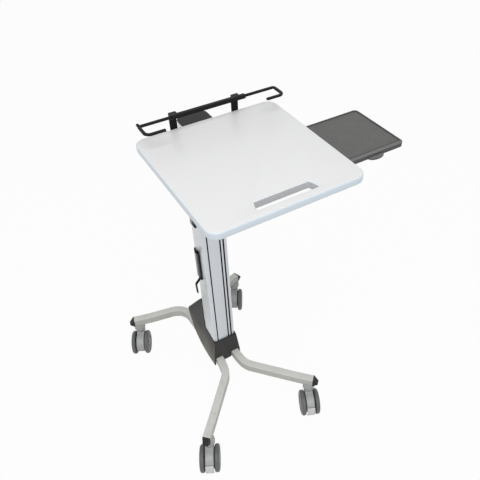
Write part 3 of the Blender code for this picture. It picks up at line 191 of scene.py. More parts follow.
# %% Lay the floor
FLOOR_WHITE = (0.72, 0.72, 0.72, 1.0)
FLOOR_SHOWN = 0.96
FLOOR_SIDE = 14.0
FLOOR_DROP = 0.0002

bpy.ops.mesh.primitive_plane_add(size=FLOOR_SIDE, location=(0.0, 0.0, -FLOOR_DROP))
floor = bpy.context.object
floor.name = "studio_floor"
paper = bpy.data.materials.new("studio_paper")
paper.use_nodes = True
tree = paper.node_tree
shader = tree.nodes["Principled BSDF"]
shader.inputs["Base Color"].default_value = FLOOR_WHITE
shader.inputs["Roughness"].default_value = 0.9
glow = add_node(tree, "ShaderNodeEmission", {"Color": WHITE})
share = maths(tree, "MULTIPLY", seen_directly(tree), FLOOR_SHOWN)
blend = add_node(tree, "ShaderNodeMixShader", {
    0: share, 1: shader.outputs[0], 2: glow.outputs[0]})
tree.links.new(blend.outputs[0], tree.nodes["Material Output"].inputs["Surface"])
floor.data.materials.append(paper)
print("floor:", floor.name)

# %% [markdown]
# ## Finishes
#
# No real surface has one flat colour. Each finish below starts from the colour that the
# photograph shows, and adds what the eye expects close up: the tooth of a powder coat,
# the draw lines of an extrusion, the fine grain of moulded plastic. All of it comes from
# noise that is read at the object's own coordinates in metres, so a scale of 1000 gives
# a grain about a millimetre wide. The helpers below keep each finish down to a few lines.

# %% Helpers for finishes
def finish(name, roughness, metallic=0.0, specular=0.5):
    """A new material, its node tree and its shader."""
    made = bpy.data.materials.new(name)
    made.use_nodes = True
    shader = made.node_tree.nodes["Principled BSDF"]
    shader.inputs["Roughness"].default_value = roughness
    shader.inputs["Metallic"].default_value = metallic
    shader.inputs["Specular IOR Level"].default_value = specular
    return made, made.node_tree, shader


def place(tree, stretch=(1.0, 1.0, 1.0)):
    """Object coordinates, stretched."""
    spot = tree.nodes.new("ShaderNodeTexCoord").outputs["Object"]
    mapping = add_node(tree, "ShaderNodeMapping", {"Vector": spot, "Scale": stretch})
    return mapping.outputs["Vector"]


def noise(tree, scale, detail=3.0, stretch=(1.0, 1.0, 1.0)):
    return add_node(tree, "ShaderNodeTexNoise", {
        "Vector": place(tree, stretch), "Scale": scale, "Detail": detail}).outputs["Fac"]


def cells(tree, scale):
    return add_node(tree, "ShaderNodeTexVoronoi", {
        "Vector": place(tree), "Scale": scale}).outputs["Distance"]


def spread(tree, value, low, high, start=0.3, end=0.7):
    """Stretches a value from start..end to low..high."""
    return add_node(tree, "ShaderNodeMapRange", {
        "Value": value, "From Min": start, "From Max": end, "To Min": low, "To Max": high,
    }).outputs["Result"]


def mix(tree, amount, first, second, way="MIX"):
    """Mixes two colours; each is three numbers or a socket."""
    first, second = ((*colour, 1.0) if isinstance(colour, tuple) else colour
                     for colour in (first, second))
    return add_node(tree, "ShaderNodeMix", {0: amount, 6: first, 7: second},
                    data_type="RGBA", blend_type=way).outputs[2]


def tones(tree, value, dark, light):
    """The dark colour where the value is low, and the light one where it is high."""
    return mix(tree, spread(tree, value, 0.0, 1.0), dark, light)


def paint(tree, shader, colour):
    tree.links.new(colour, shader.inputs["Base Color"])


def gloss(tree, shader, value, low, high):
    """A roughness that goes from low to high with the value."""
    tree.links.new(spread(tree, value, low, high), shader.inputs["Roughness"])


def relief(tree, shader, height, strength, distance):
    """Small bumps: no shape, only the way light falls."""
    bump = add_node(tree, "ShaderNodeBump", {
        "Height": height, "Strength": strength, "Distance": distance})
    tree.links.new(bump.outputs["Normal"], shader.inputs["Normal"])


def axis_of(tree, vector, axis):
    return add_node(tree, "ShaderNodeSeparateXYZ", {0: vector}).outputs[axis]


def normal_of(tree):
    return tree.nodes.new("ShaderNodeNewGeometry").outputs["Normal"]


def facing(tree, axis, start, end):
    """1 where a face looks along the axis, either way, and 0 where it lies along it."""
    share = maths(tree, "ABSOLUTE", axis_of(tree, normal_of(tree), axis), 0.0)
    return spread(tree, share, 0.0, 1.0, start, end)


def along(tree, axis, start, end):
    """0 at one place along the axis and 1 at the other, in metres."""
    return spread(tree, axis_of(tree, place(tree), axis), 0.0, 1.0, start, end)


def worn_edges(tree, radius):
    """1 along sharp edges, broken up by noise, and 0 on flat faces."""
    soft = add_node(tree, "ShaderNodeBevel", {"Radius": radius}, samples=4)
    dot = add_node(tree, "ShaderNodeVectorMath", {
        0: soft.outputs["Normal"], 1: normal_of(tree)}, operation="DOT_PRODUCT")
    edge = spread(tree, dot.outputs["Value"], 1.0, 0.0, 0.8, 0.98)
    patches = spread(tree, noise(tree, 160.0), 0.0, 1.0, 0.45, 0.65)
    return maths(tree, "MULTIPLY", edge, patches)


print("helpers ready")

# %% [markdown]
# The worktop is a board with a white laminate on it and a plastic band round its edge.
# The band is painted slightly cooler and darker than the top: partly its own colour,
# partly a painted cool reflection. Both are satin, with the faint waviness that pressed
# laminate has. The band is told from the top by the way a face looks, so one material
# serves both, and the rounded rim belongs to the band. The walls of the handle slot have
# no band: they get little light, and their grey material is painted shade.

# %% White laminate
laminate, tree, shader = finish("worktop_laminate", 0.34, specular=0.45)
speckle = noise(tree, 900.0, 2.0)
top_white = tones(tree, speckle, (0.865, 0.865, 0.855), (0.885, 0.885, 0.878))
# Painted cool reflection: the edge band's colour is cooler and darker than the top.
edge_band_and_painted_reflection = tones(tree, speckle, (0.735, 0.812, 0.88), (0.755, 0.83, 0.895))
paint(tree, shader, mix(tree, facing(tree, "Z", 0.8, 0.99), edge_band_and_painted_reflection, top_white))
gloss(tree, shader, noise(tree, 14.0), 0.29, 0.38)
relief(tree, shader, noise(tree, 220.0, 2.0), 0.05, 0.0004)

# Painted shade: the walls of the handle slot get this grey, since little light reaches
# them.
slot_painted_shade, tree, shader = finish("handle_slot_painted_shade", 0.5, specular=0.3)
paint(tree, shader, tones(tree, noise(tree, 300.0), (0.53, 0.54, 0.55),
                          (0.57, 0.58, 0.59)))
gloss(tree, shader, noise(tree, 90.0), 0.44, 0.56)
relief(tree, shader, noise(tree, 500.0, 2.0), 0.08, 0.0003)
print(laminate.name, slot_painted_shade.name)

# %% [markdown]
# The column is an anodised aluminium extrusion. The die leaves fine lines along its
# length, so the noise is squeezed a hundredfold along Z. The lines change the roughness
# more than the colour, which is what makes brushed or drawn metal read as metal. Slots,
# grooves and the inside of the section get little light, so they get painted shade,
# nearly black: a few vector nodes measure how deep a point lies under the outer skin of
# the section. Faces that look forwards or backwards get a faint painted cool reflection.

# %% Anodised aluminium
SECTION_HALF = Vector((0.045, 0.04, 0.0))
SECTION_CORNER = 0.009
SKIN = 0.0004
SLOT_LINES = ((-0.029, 0.0015), (0.029, 0.0022), (0.0169, 0.002))    # middle, half width


def off_slot_shade(tree):
    """0 on the slot lips of the front face, where shade is painted, and 1 elsewhere."""
    across = axis_of(tree, place(tree), "X")
    nearest = 1.0
    for middle, half_width in SLOT_LINES:
        away = maths(tree, "SUBTRACT", across, AXIS.x + middle)
        away = maths(tree, "ABSOLUTE", away, 0.0)
        away = maths(tree, "SUBTRACT", away, half_width)
        nearest = maths(tree, "MINIMUM", away, nearest)
    clean = spread(tree, nearest, 0.0, 1.0, 0.0004, 0.0012)
    behind = spread(tree, axis_of(tree, normal_of(tree), "Y"), 0.0, 1.0, -0.7, -0.3)
    return maths(tree, "MAXIMUM", clean, behind)


def on_skin(tree):
    """1 on the outer faces of the column's section, and 0 further in."""
    value = tree.nodes.new("ShaderNodeTexCoord").outputs["Object"]
    inner = SECTION_HALF - Vector((SECTION_CORNER, SECTION_CORNER, 0.0))
    for operation, amount in (
        ("SUBTRACT", AXIS), ("ABSOLUTE", Vector()), ("SUBTRACT", inner),
        ("MAXIMUM", Vector()), ("MULTIPLY", Vector((1.0, 1.0, 0.0))),
    ):
        value = add_node(tree, "ShaderNodeVectorMath", {0: value, 1: amount},
                         operation=operation).outputs["Vector"]
    length = add_node(tree, "ShaderNodeVectorMath", {0: value}, operation="LENGTH")
    return spread(tree, length.outputs["Value"], 0.0, 1.0,
                  SECTION_CORNER - SKIN, SECTION_CORNER - SKIN / 2)


aluminium, tree, shader = finish("column_aluminium", 0.36, metallic=0.55)
lines = noise(tree, 420.0, 3.0, (1.0, 1.0, 0.01))
clouds = noise(tree, 9.0, 2.0, (1.0, 1.0, 0.3))
metal = tones(tree, lines, (0.69, 0.715, 0.735), (0.74, 0.76, 0.775))
metal = mix(tree, spread(tree, clouds, 0.0, 0.5), metal, (0.765, 0.785, 0.8))
# Painted cool reflection: faces that look forwards or backwards are tinted a little
# bluer.
cool = mix(tree, facing(tree, "Y", 0.5, 0.9), (1.0, 1.0, 1.0), (0.985, 0.992, 1.022))
metal = mix(tree, 1.0, metal, cool, "MULTIPLY")
clear_of_painted_shade = maths(tree, "MULTIPLY", on_skin(tree), off_slot_shade(tree))
# Painted shade: slot lips and the inside of the section are painted nearly black.
paint(tree, shader, mix(tree, clear_of_painted_shade, (0.01, 0.01, 0.011), metal))
gloss(tree, shader, lines, 0.3, 0.44)
relief(tree, shader, lines, 0.08, 0.0002)
print(aluminium.name)

# %% [markdown]
# Legs and bracket are steel with a warm light grey powder coat. Powder melts into an
# orange-peel skin, about a millimetre from bump to bump, and picks up faint scuffs where
# shoes and bins meet it. The upright faces get painted shade, a little darker than the
# tops as in the photograph, which keeps the facets of the tube readable.

# %% Warm grey powder coat
leg_coat, tree, shader = finish("leg_powder_coat", 0.42, specular=0.45)
peel = noise(tree, 620.0, 2.0)
soil = spread(tree, noise(tree, 34.0, 6.0), 0.0, 0.6, 0.56, 0.72)
soil = maths(tree, "MULTIPLY", soil, along(tree, "Z", 0.24, 0.15))
coat = tones(tree, noise(tree, 11.0), (0.685, 0.685, 0.645), (0.72, 0.718, 0.678))
# Painted shade: faces that do not look up or down are made darker than the tops.
shade = mix(tree, facing(tree, "Z", 0.55, 0.85), (0.8, 0.8, 0.79), (1.0, 1.0, 1.0))
coat = mix(tree, 1.0, coat, shade, "MULTIPLY")
paint(tree, shader, mix(tree, soil, coat, (0.52, 0.51, 0.47)))
gloss(tree, shader, noise(tree, 60.0), 0.36, 0.5)
relief(tree, shader, peel, 0.16, 0.0004)
print(leg_coat.name)

# %% [markdown]
# The boot over the column's foot and the caps on the legs are a dark charcoal moulding.
# Its skin is spark-eroded: a fine matt grain. Faces that look forwards or backwards get
# painted light and are a little lighter. The lower half of its side walls is lighter and
# browner, as in the photograph: partly dust, partly painted light.

# %% Charcoal mouldings
def charcoal_moulding(name, painted_light_and_dust):
    made, tree, shader = finish(name, 0.48, specular=0.12)
    grain = noise(tree, 1300.0, 2.0)
    skin = tones(tree, grain, (0.03, 0.03, 0.03), (0.04, 0.039, 0.039))
    if painted_light_and_dust:
        # Painted light: faces that look forwards or backwards are made lighter.
        front = facing(tree, "Y", 0.5, 0.9)
        front = mix(tree, front, (1.0, 1.0, 1.0), (1.55, 1.55, 1.52))
        skin = mix(tree, 1.0, skin, front, "MULTIPLY")
        # Lower side walls: partly dust, partly painted light, lighter and browner towards
        # the floor.
        dust = spread(tree, noise(tree, 18.0, 5.0), 0.45, 0.9)
        dust = maths(tree, "MULTIPLY", along(tree, "Z", 0.3, 0.18), dust)
        dust = maths(tree, "MULTIPLY", dust, facing(tree, "X", 0.4, 0.9))
        skin = mix(tree, dust, skin, (0.25, 0.228, 0.19))
    paint(tree, shader, mix(tree, worn_edges(tree, 0.0012), skin, (0.075, 0.073, 0.07)))
    gloss(tree, shader, grain, 0.4, 0.54)
    relief(tree, shader, grain, 0.22, 0.0003)
    return made


charcoal = charcoal_moulding("boot_moulding", True)
cap_moulding = charcoal_moulding("cap_moulding", False)
print(charcoal.name, cap_moulding.name)

# %% [markdown]
# The side tray has a pebbled top, so that what lies on it keeps its place. A Voronoi
# pattern gives the small raised cells, and noise varies their tone. The edges of the
# cells and the upright faces get painted shade. The strip along its front edge is a
# little lighter, a painted highlight on the rounded rim, and a painted shadow lies in
# the corner behind it.

# %% Pebbled tray plastic
TRAY_LOW, TRAY_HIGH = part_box("side_tray")
TAB_OUT = 0.0125
FRONT_RIM = 0.0105
tray_front = TRAY_LOW.y + TAB_OUT
pebble, tree, shader = finish("tray_pebble", 0.55, specular=0.4)
bead = cells(tree, 780.0)
tone = tones(tree, noise(tree, 40.0, 4.0), (0.122, 0.121, 0.118), (0.14, 0.139, 0.135))
# Painted highlight: the strip along the front rim is lighter. Painted shadow: a dark band
# lies just behind it.
strip_end = tray_front + FRONT_RIM
strip = along(tree, "Y", strip_end, strip_end - 0.001)
tone = mix(tree, strip, tone, (0.19, 0.189, 0.185))
painted_rim_shadow = maths(tree, "MINIMUM", along(tree, "Y", strip_end, strip_end + 0.001),
              along(tree, "Y", strip_end + 0.009, strip_end + 0.005))
tone = mix(tree, painted_rim_shadow, tone, (0.062, 0.061, 0.06))
# Painted shade: faces that do not look up are darker.
side = mix(tree, facing(tree, "Z", 0.25, 0.75), (0.07, 0.07, 0.069), tone)
# Painted shade: the tone darkens towards the edges of the cells.
painted_valley_shade = spread(tree, bead, 0.0, 0.3, 0.1, 0.6)
paint(tree, shader, mix(tree, painted_valley_shade, side, (0.092, 0.092, 0.09)))
tree.links.new(spread(tree, bead, 0.48, 0.62, 0.0, 0.7), shader.inputs["Roughness"])
relief(tree, shader, bead, 0.3, 0.0003)
print(pebble.name)

# %% [markdown]
# Hooks, sleeve and cord wraps are black powder-coated steel. Where the coat is thin, on
# the corners, it rubs to a dull grey.

# %% Black powder coat
black_coat, tree, shader = finish("black_powder_coat_worn", 0.46, specular=0.12)
peel = noise(tree, 760.0, 2.0)
coat = tones(tree, peel, (0.007, 0.007, 0.008), (0.013, 0.013, 0.014))
paint(tree, shader, mix(tree, worn_edges(tree, 0.0006), coat, (0.036, 0.035, 0.034)))
gloss(tree, shader, noise(tree, 70.0), 0.36, 0.5)
relief(tree, shader, peel, 0.2, 0.0003)
print(black_coat.name)

# %% [markdown]
# The casters are moulded plastic: a mid grey hood, a paler lock pedal, and wheels with a
# dark grey tread round a grey hub. The tread's inner side, which faces the hood, gets a
# darker copy of its colour as painted shade. All are smooth, so only a low grain and some
# road dust are needed. One function makes them, and the plates of the cord wraps as
# well, because they differ by colour and gloss alone.

# %% Caster plastics
def caster_plastic(name, dark, light, roughness, bumps, dust_colour, dust_height):
    made, tree, shader = finish(name, roughness, specular=0.45)
    grain = noise(tree, 900.0, 2.0)
    tone = tones(tree, noise(tree, 26.0, 4.0), dark, light)
    dust = spread(tree, noise(tree, 45.0, 6.0), 0.0, 0.9, 0.4, 0.7)
    dust = maths(tree, "MULTIPLY", along(tree, "Z", dust_height, 0.0), dust)
    paint(tree, shader, mix(tree, dust, tone, dust_colour))
    gloss(tree, shader, grain, roughness - 0.06, roughness + 0.08)
    relief(tree, shader, grain, bumps, 0.0002)
    return made


CASTER_PLASTICS = (    # name, dark, light, roughness, bumps, dust, up to which height
    ("hood_plastic", (0.45, 0.46, 0.457), (0.49, 0.5, 0.495),
     0.42, 0.1, (0.3, 0.292, 0.272), 0.09),
    ("pedal_plastic", (0.68, 0.69, 0.682), (0.72, 0.73, 0.722),
     0.4, 0.1, (0.47, 0.455, 0.42), 0.06),
    ("tread_plastic", (0.13, 0.131, 0.13), (0.16, 0.161, 0.159),
     0.5, 0.2, (0.205, 0.198, 0.184), 0.05),
    # The inner tread row is a darker copy of the tread: painted shade.
    ("inner_tread_painted_shade", (0.04, 0.04, 0.04), (0.056, 0.056, 0.055),
     0.55, 0.2, (0.08, 0.077, 0.07), 0.04),
    ("hub_plastic", (0.235, 0.24, 0.238), (0.27, 0.275, 0.272),
     0.42, 0.12, (0.225, 0.218, 0.204), 0.05),
    ("wrap_plate_plastic", (0.33, 0.335, 0.33), (0.385, 0.39, 0.384),
     0.44, 0.12, (0.3, 0.29, 0.27), 0.02),
)
(hood_plastic, pedal_plastic, tread_plastic, inner_tread_shade, hub_plastic,
 wrap_plastic) = [caster_plastic(*row) for row in CASTER_PLASTICS]
print([row[0] for row in CASTER_PLASTICS])

# %% [markdown]
# Screws, rails and the carriage are zinc-plated steel: a cool metal with a cloudy
# brightness. The spring is a bright rolled strip with fine lines, and the glide pads are
# a creamy white low-friction plastic.

# %% Zinc, spring steel and glide plastic
zinc, tree, shader = finish("zinc_plating", 0.34, metallic=0.9)
cloud = noise(tree, 120.0, 5.0)
paint(tree, shader, tones(tree, cloud, (0.56, 0.57, 0.58), (0.68, 0.682, 0.67)))
gloss(tree, shader, cloud, 0.26, 0.42)
relief(tree, shader, noise(tree, 900.0), 0.06, 0.0001)

spring_steel, tree, shader = finish("spring_strip", 0.24, metallic=1.0)
lines = noise(tree, 1400.0, 2.0, (1.0, 0.03, 0.03))
paint(tree, shader, tones(tree, lines, (0.42, 0.43, 0.45), (0.52, 0.525, 0.53)))
gloss(tree, shader, lines, 0.18, 0.32)

acetal, tree, shader = finish("glide_acetal", 0.4, specular=0.4)
milk = noise(tree, 60.0, 3.0)
paint(tree, shader, tones(tree, milk, (0.78, 0.775, 0.735), (0.835, 0.83, 0.79)))
gloss(tree, shader, milk, 0.34, 0.46)
print(zinc.name, spring_steel.name, acetal.name)

# %% [markdown]
# The solid model names a material slot for each part. This table gives every slot its
# finish, and the loop puts it on all parts that keep their shape.

# %% Dress the parts of the frame
LOOKS = {
    "white_laminate": laminate,
    "anodised_aluminium": aluminium,
    "warm_grey_paint": leg_coat,
    "dark_grey_plastic": charcoal,
    "tray_plastic": pebble,
    "black_powder_coat": black_coat,
    "grey_hood_plastic": hood_plastic,
    "grey_tread": tread_plastic,
    "light_grey_plastic": pedal_plastic,
    "zinc_plate": zinc,
    "white_acetal": acetal,
    "spring_steel": spring_steel,
}
SLOT_OF = {part["node"]: part["material_slot"] for part in frame["record"]["subparts"]}

for name, node in NODES.items():
    look = wrap_plastic if name.startswith("cord_plate") else LOOKS[SLOT_OF[name]]
    for material_slot in node.material_slots:
        material_slot.material = look
print("dressed:", len(NODES), "parts in", len(LOOKS), "finishes")

# %% [markdown]
# A solid model has knife-sharp edges, and its round parts are made of flats. Real edges
# are always a little round and catch a line of light. Five modifiers do this without
# touching the mesh: Weld joins the loose triangles, Decimate melts flat triangles into
# whole faces, Bevel rounds what is still sharp, a small node group smooths the shading
# where faces meet at a low angle, and Weighted Normal keeps large flats looking flat.

# %% Soften the edges of the parts
EDGE_ANGLE = math.radians(32.0)
FLAT_ANGLE = math.radians(0.4)
SAME_POINT = 0.00001


def smooth_by_angle():
    """A node group that shades smooth, apart from edges sharper than EDGE_ANGLE."""
    group = bpy.data.node_groups.new("smooth_low_angles", "GeometryNodeTree")
    for way in ("INPUT", "OUTPUT"):
        group.interface.new_socket("Geometry", in_out=way,
                                   socket_type="NodeSocketGeometry")
    entry = group.nodes.new("NodeGroupInput")
    result = group.nodes.new("NodeGroupOutput")
    angle = group.nodes.new("GeometryNodeInputMeshEdgeAngle")
    low = group.nodes.new("FunctionNodeCompare")
    low.operation = "LESS_EQUAL"
    low.inputs[1].default_value = EDGE_ANGLE
    faces = group.nodes.new("GeometryNodeSetShadeSmooth")
    edges = group.nodes.new("GeometryNodeSetShadeSmooth")
    edges.domain = "EDGE"
    group.links.new(angle.outputs["Unsigned Angle"], low.inputs[0])
    group.links.new(entry.outputs[0], faces.inputs[0])
    group.links.new(faces.outputs[0], edges.inputs[0])
    group.links.new(low.outputs[0], edges.inputs["Shade Smooth"])
    group.links.new(edges.outputs[0], result.inputs[0])
    return group


SMOOTH = smooth_by_angle()
FINE_EDGE = 0.0003
EDGE_WIDTHS = {
    "base_shroud": 0.0011,
    "support_bracket": 0.0006,
    "column": 0.00015,
    "column_front_panel": 0.00015,
}


def soften(node, width):
    weld = node.modifiers.new("join_triangles", "WELD")
    weld.merge_threshold = SAME_POINT
    melt = node.modifiers.new("melt_flats", "DECIMATE")
    melt.decimate_type = "DISSOLVE"
    melt.angle_limit = FLAT_ANGLE
    bevel = node.modifiers.new("round_edges", "BEVEL")
    bevel.width = width
    bevel.segments = 2
    bevel.limit_method = "ANGLE"
    bevel.angle_limit = EDGE_ANGLE
    bevel.use_clamp_overlap = True
    node.modifiers.new("smooth_low_angles", "NODES").node_group = SMOOTH
    flat = node.modifiers.new("keep_flats_flat", "WEIGHTED_NORMAL")
    flat.keep_sharp = True


for name, node in NODES.items():
    soften(node, EDGE_WIDTHS.get(name, FINE_EDGE))
print("softened:", len(NODES), "parts")

# %% [markdown]
# ## Modelling by hand
#
# From here on, pieces are modelled with the same operators that a person uses in the
# window. Each one starts as a primitive, is shaped in edit mode and ends with applied
# modifiers. Operators act on what is selected, so every step first selects the faces or
# edges that it needs, by their place and direction.

# %% Helpers for selecting and placing
SMOOTH_BELOW = math.radians(35.0)
NEAR = 0.001


def select_only(*things):
    bpy.ops.object.select_all(action="DESELECT")
    for thing in things:
        thing.select_set(True)
    bpy.context.view_layer.objects.active = things[0]


def edit():
    bpy.ops.object.mode_set(mode="EDIT")


def leave():
    bpy.ops.object.mode_set(mode="OBJECT")


def pick(kind, test):
    """In edit mode, selects what passes the test by its middle and direction."""
    bpy.ops.mesh.select_mode(type=kind)
    bpy.ops.mesh.select_all(action="DESELECT")
    data = bpy.context.object.data
    mesh = bmesh.from_edit_mesh(data)
    count = 0
    for item in mesh.faces if kind == "FACE" else mesh.edges:
        if kind == "FACE":
            passed = test(item.calc_center_median(), item.normal)
        else:
            first, second = (vertex.co for vertex in item.verts)
            passed = test((first + second) / 2, (second - first).normalized())
        item.select_set(bool(passed))
        count += bool(passed)
    bmesh.update_edit_mesh(data)
    return count


def bevel(test, width, segments):
    """In edit mode, bevels the edges that pass the test."""
    pick("EDGE", test)
    bpy.ops.mesh.bevel(offset=width, segments=segments, affect="EDGES")


def apply_all(piece):
    """Applies every modifier of the piece, in order."""
    select_only(piece)
    for modifier in list(piece.modifiers):
        bpy.ops.object.modifier_apply(modifier=modifier.name)


def settle(piece, matrix=None):
    """Puts the piece where matrix says, and its place into its mesh."""
    if matrix is not None:
        piece.matrix_world = matrix
    select_only(piece)
    bpy.ops.object.transform_apply(location=True, rotation=True, scale=True)


def upright(middle, direction):
    """A test for pick(): whether an edge stands upright."""
    return abs(direction.z) > 0.9


def level(middle, direction):
    """A test for pick(): whether an edge lies level."""
    return abs(direction.z) < 0.1


def copy_of(piece, name):
    """A copy with its own mesh."""
    made = piece.copy()
    made.data = piece.data.copy()
    made.name = name
    bpy.context.scene.collection.objects.link(made)
    return made


print("selecting and placing: ready")

# %% [markdown]
# Some shapes are easiest to get from others. A Boolean modifier cuts one closed shape
# out of another or joins the two, and a Bevel modifier rounds every sharp edge at once.
# A flat outline becomes a plate, a list of radii becomes a turned shape, and two corners
# make a box to start from.

# %% Helpers for making shapes
def combine(piece, other, operation):
    """DIFFERENCE cuts the other shape out of the piece, and UNION joins it on."""
    step = piece.modifiers.new("combine", "BOOLEAN")
    step.operation = operation
    step.solver = "EXACT"
    step.object = other
    select_only(piece)
    bpy.ops.object.modifier_apply(modifier=step.name)
    bpy.data.objects.remove(other)


def round_edges(piece, width, segments, degrees=50.0):
    """Rounds all edges sharper than so many degrees, and shades the piece smooth."""
    step = piece.modifiers.new("round", "BEVEL")
    step.width = width
    step.segments = segments
    step.limit_method = "ANGLE"
    step.angle_limit = math.radians(degrees)
    step.use_clamp_overlap = True
    apply_all(piece)
    bpy.ops.object.shade_smooth_by_angle(angle=SMOOTH_BELOW)


def drawn(name, points, closed):
    """A curve of straight steps through the points."""
    data = bpy.data.curves.new(name, "CURVE")
    spline = data.splines.new("POLY")
    spline.points.add(len(points) - 1)
    for point, target in zip(points, spline.points):
        target.co = (*Vector(point).to_3d(), 1.0)
    spline.use_cyclic_u = closed
    made = bpy.data.objects.new(name, data)
    bpy.context.scene.collection.objects.link(made)
    return made


def as_mesh(curve):
    """Turns a curve into a closed mesh that faces outwards."""
    select_only(curve)
    bpy.ops.object.convert(target="MESH")
    edit()
    bpy.ops.mesh.select_all(action="SELECT")
    bpy.ops.mesh.remove_doubles(threshold=SAME_POINT)
    bpy.ops.mesh.normals_make_consistent(inside=False)
    leave()
    bpy.ops.object.shade_smooth_by_angle(angle=SMOOTH_BELOW)
    return bpy.context.object


def plate(name, outline, half_width, rounding):
    """A flat outline, filled and thickened to both sides, with its rims rounded."""
    curve = drawn(name, outline, True)
    curve.data.dimensions = "2D"
    curve.data.fill_mode = "BOTH"
    curve.data.extrude = half_width - rounding
    curve.data.bevel_depth = rounding
    curve.data.bevel_resolution = 3
    curve.data.offset = -rounding
    return as_mesh(curve)


def turned(name, rows, faces_round):
    """A turned shape: a disc whose face is pushed up and scaled, row after row."""
    bpy.ops.object.select_all(action="DESELECT")
    bpy.ops.mesh.primitive_circle_add(vertices=faces_round, radius=rows[0][0],
                                      fill_type="NGON", location=(0.0, 0.0, rows[0][1]))
    made = bpy.context.object
    made.name = name
    settle(made)
    edit()
    bpy.ops.mesh.select_all(action="SELECT")
    for (radius, here), (before, below) in zip(rows[1:], rows):
        bpy.ops.mesh.extrude_region_move(
            TRANSFORM_OT_translate={"value": (0.0, 0.0, here - below)})
        bpy.ops.transform.resize(value=(radius / before, radius / before, 1.0))
    bpy.ops.mesh.select_all(action="SELECT")
    bpy.ops.mesh.normals_make_consistent(inside=False)
    leave()
    return made


def box_between(name, low, high):
    """A cube between two corners, as a start."""
    bpy.ops.object.select_all(action="DESELECT")
    bpy.ops.mesh.primitive_cube_add(size=1.0, location=(Vector(low) + Vector(high)) / 2)
    made = bpy.context.object
    made.name = name
    made.scale = Vector(high) - Vector(low)
    settle(made)
    return made


def stands_for(piece, body, looks, node):
    """Dresses the piece, lets it ride on its body and hides the part it stands for."""
    piece.data.materials.clear()
    for look in looks:
        piece.data.materials.append(look)
    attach(piece, body)
    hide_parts(node)
    print(piece.name, "faces:", len(piece.data.polygons))


print("making shapes: ready")

# %% [markdown]
# ## Worktop
#
# The worktop is a 20 mm board of 410 by 425 mm with round corners. A slot behind its
# front edge makes a handle. It starts as a cube: beveling the four upright edges rounds
# the corners, a wide bevel makes the rim soft to lean on, a second shape cuts the slot,
# and a last, finer bevel rounds the slot's lips.

# %% Model the worktop
TOP_LOW, TOP_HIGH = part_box("worksurface")
CORNER_RADIUS = 0.03
RIM_RADIUS = 0.0038
SLOT_LIP = 0.0022
HANDLE_BAR = 0.023
HANDLE_DEPTH = 0.028
HANDLE_REAR_WIDTH = 0.145
HANDLE_FRONT_WIDTH = 0.163
HANDLE_CORNER = 0.004
THROUGH = 0.01

worktop = box_between("worktop", TOP_LOW, TOP_HIGH)
edit()
bevel(upright, CORNER_RADIUS, 14)
bevel(level, RIM_RADIUS, 6)
leave()

slot_front = TOP_LOW.y + HANDLE_BAR
slot_cutter = box_between(
    "slot_cutter",
    (AXIS.x - HANDLE_FRONT_WIDTH / 2, slot_front, TOP_LOW.z - THROUGH),
    (AXIS.x + HANDLE_FRONT_WIDTH / 2, slot_front + HANDLE_DEPTH, TOP_HIGH.z + THROUGH),
)
edit()
pick("FACE", lambda middle, normal: normal.y > 0.9)
narrow = HANDLE_REAR_WIDTH / HANDLE_FRONT_WIDTH
bpy.ops.transform.resize(value=(narrow, 1.0, 1.0))
bevel(upright, HANDLE_CORNER, 6)
leave()
combine(worktop, slot_cutter, "DIFFERENCE")
round_edges(worktop, SLOT_LIP, 4)
stands_for(worktop, "lift", [laminate, slot_painted_shade], "worksurface")
# The slot walls get the painted shade material.
edit()
pick("FACE", lambda middle, normal: abs(middle.x - AXIS.x) < HANDLE_FRONT_WIDTH / 2 + NEAR
     and slot_front - NEAR < middle.y < slot_front + HANDLE_DEPTH + NEAR
     and abs(normal.z) < 0.5)
worktop.active_material_index = 1
bpy.ops.object.material_slot_assign()
leave()

# %% [markdown]
# ## Side tray
#
# The tray slides out from under the worktop on the right. It is a thin dish with a low
# rim, wider at the front, and a half-round tab there to pull it out by. A rounded shape
# cuts the dish.

# %% Model the side tray
TAB_CENTRE = 0.3055
TAB_HALF = 0.024
TAB_THICK = 0.004
TRAY_EDGE = 0.0012
RIM = 0.0028
FRONT_ROLL = 0.0022
DISH_DEPTH = 0.0022
OUTER_CORNER = 0.012
INNER_CORNER = 0.004
DISH_CORNER = 0.009

tray = box_between("tray_dish", (TRAY_LOW.x, tray_front, TRAY_LOW.z), TRAY_HIGH)
middle_x = (TRAY_LOW.x + TRAY_HIGH.x) / 2
edit()
bevel(lambda middle, direction: upright(middle, direction) and middle.x > middle_x,
      OUTER_CORNER, 8)
bevel(lambda middle, direction: upright(middle, direction)
      and middle.x < TRAY_LOW.x + NEAR, INNER_CORNER, 4)
leave()
dish = box_between(
    "dish_cutter",
    (TRAY_LOW.x + RIM, tray_front + FRONT_RIM, TRAY_HIGH.z - DISH_DEPTH),
    (TRAY_HIGH.x - RIM, TRAY_HIGH.y - RIM, TRAY_HIGH.z + THROUGH),
)
edit()
bevel(upright, DISH_CORNER, 7)
leave()
combine(tray, dish, "DIFFERENCE")
edit()
bevel(lambda middle, direction: abs(direction.x) > 0.9
      and middle.y < tray_front + NEAR and middle.z > TRAY_HIGH.z - NEAR, FRONT_ROLL, 6)
leave()
bpy.ops.object.select_all(action="DESELECT")
bpy.ops.mesh.primitive_cylinder_add(
    vertices=48, radius=1.0, depth=TAB_THICK,
    location=(AXIS.x + TAB_CENTRE, tray_front, TRAY_LOW.z + TAB_THICK / 2),
)
tab = bpy.context.object
tab.scale = (TAB_HALF, TAB_OUT, 1.0)
settle(tab)
edit()
bpy.ops.mesh.select_all(action="SELECT")
bpy.ops.mesh.bisect(plane_co=(0.0, tray_front + TAB_THICK, 0.0), plane_no=(0.0, 1.0, 0.0),
                    use_fill=True, clear_outer=True)
leave()
combine(tray, tab, "UNION")
round_edges(tray, TRAY_EDGE, 3)
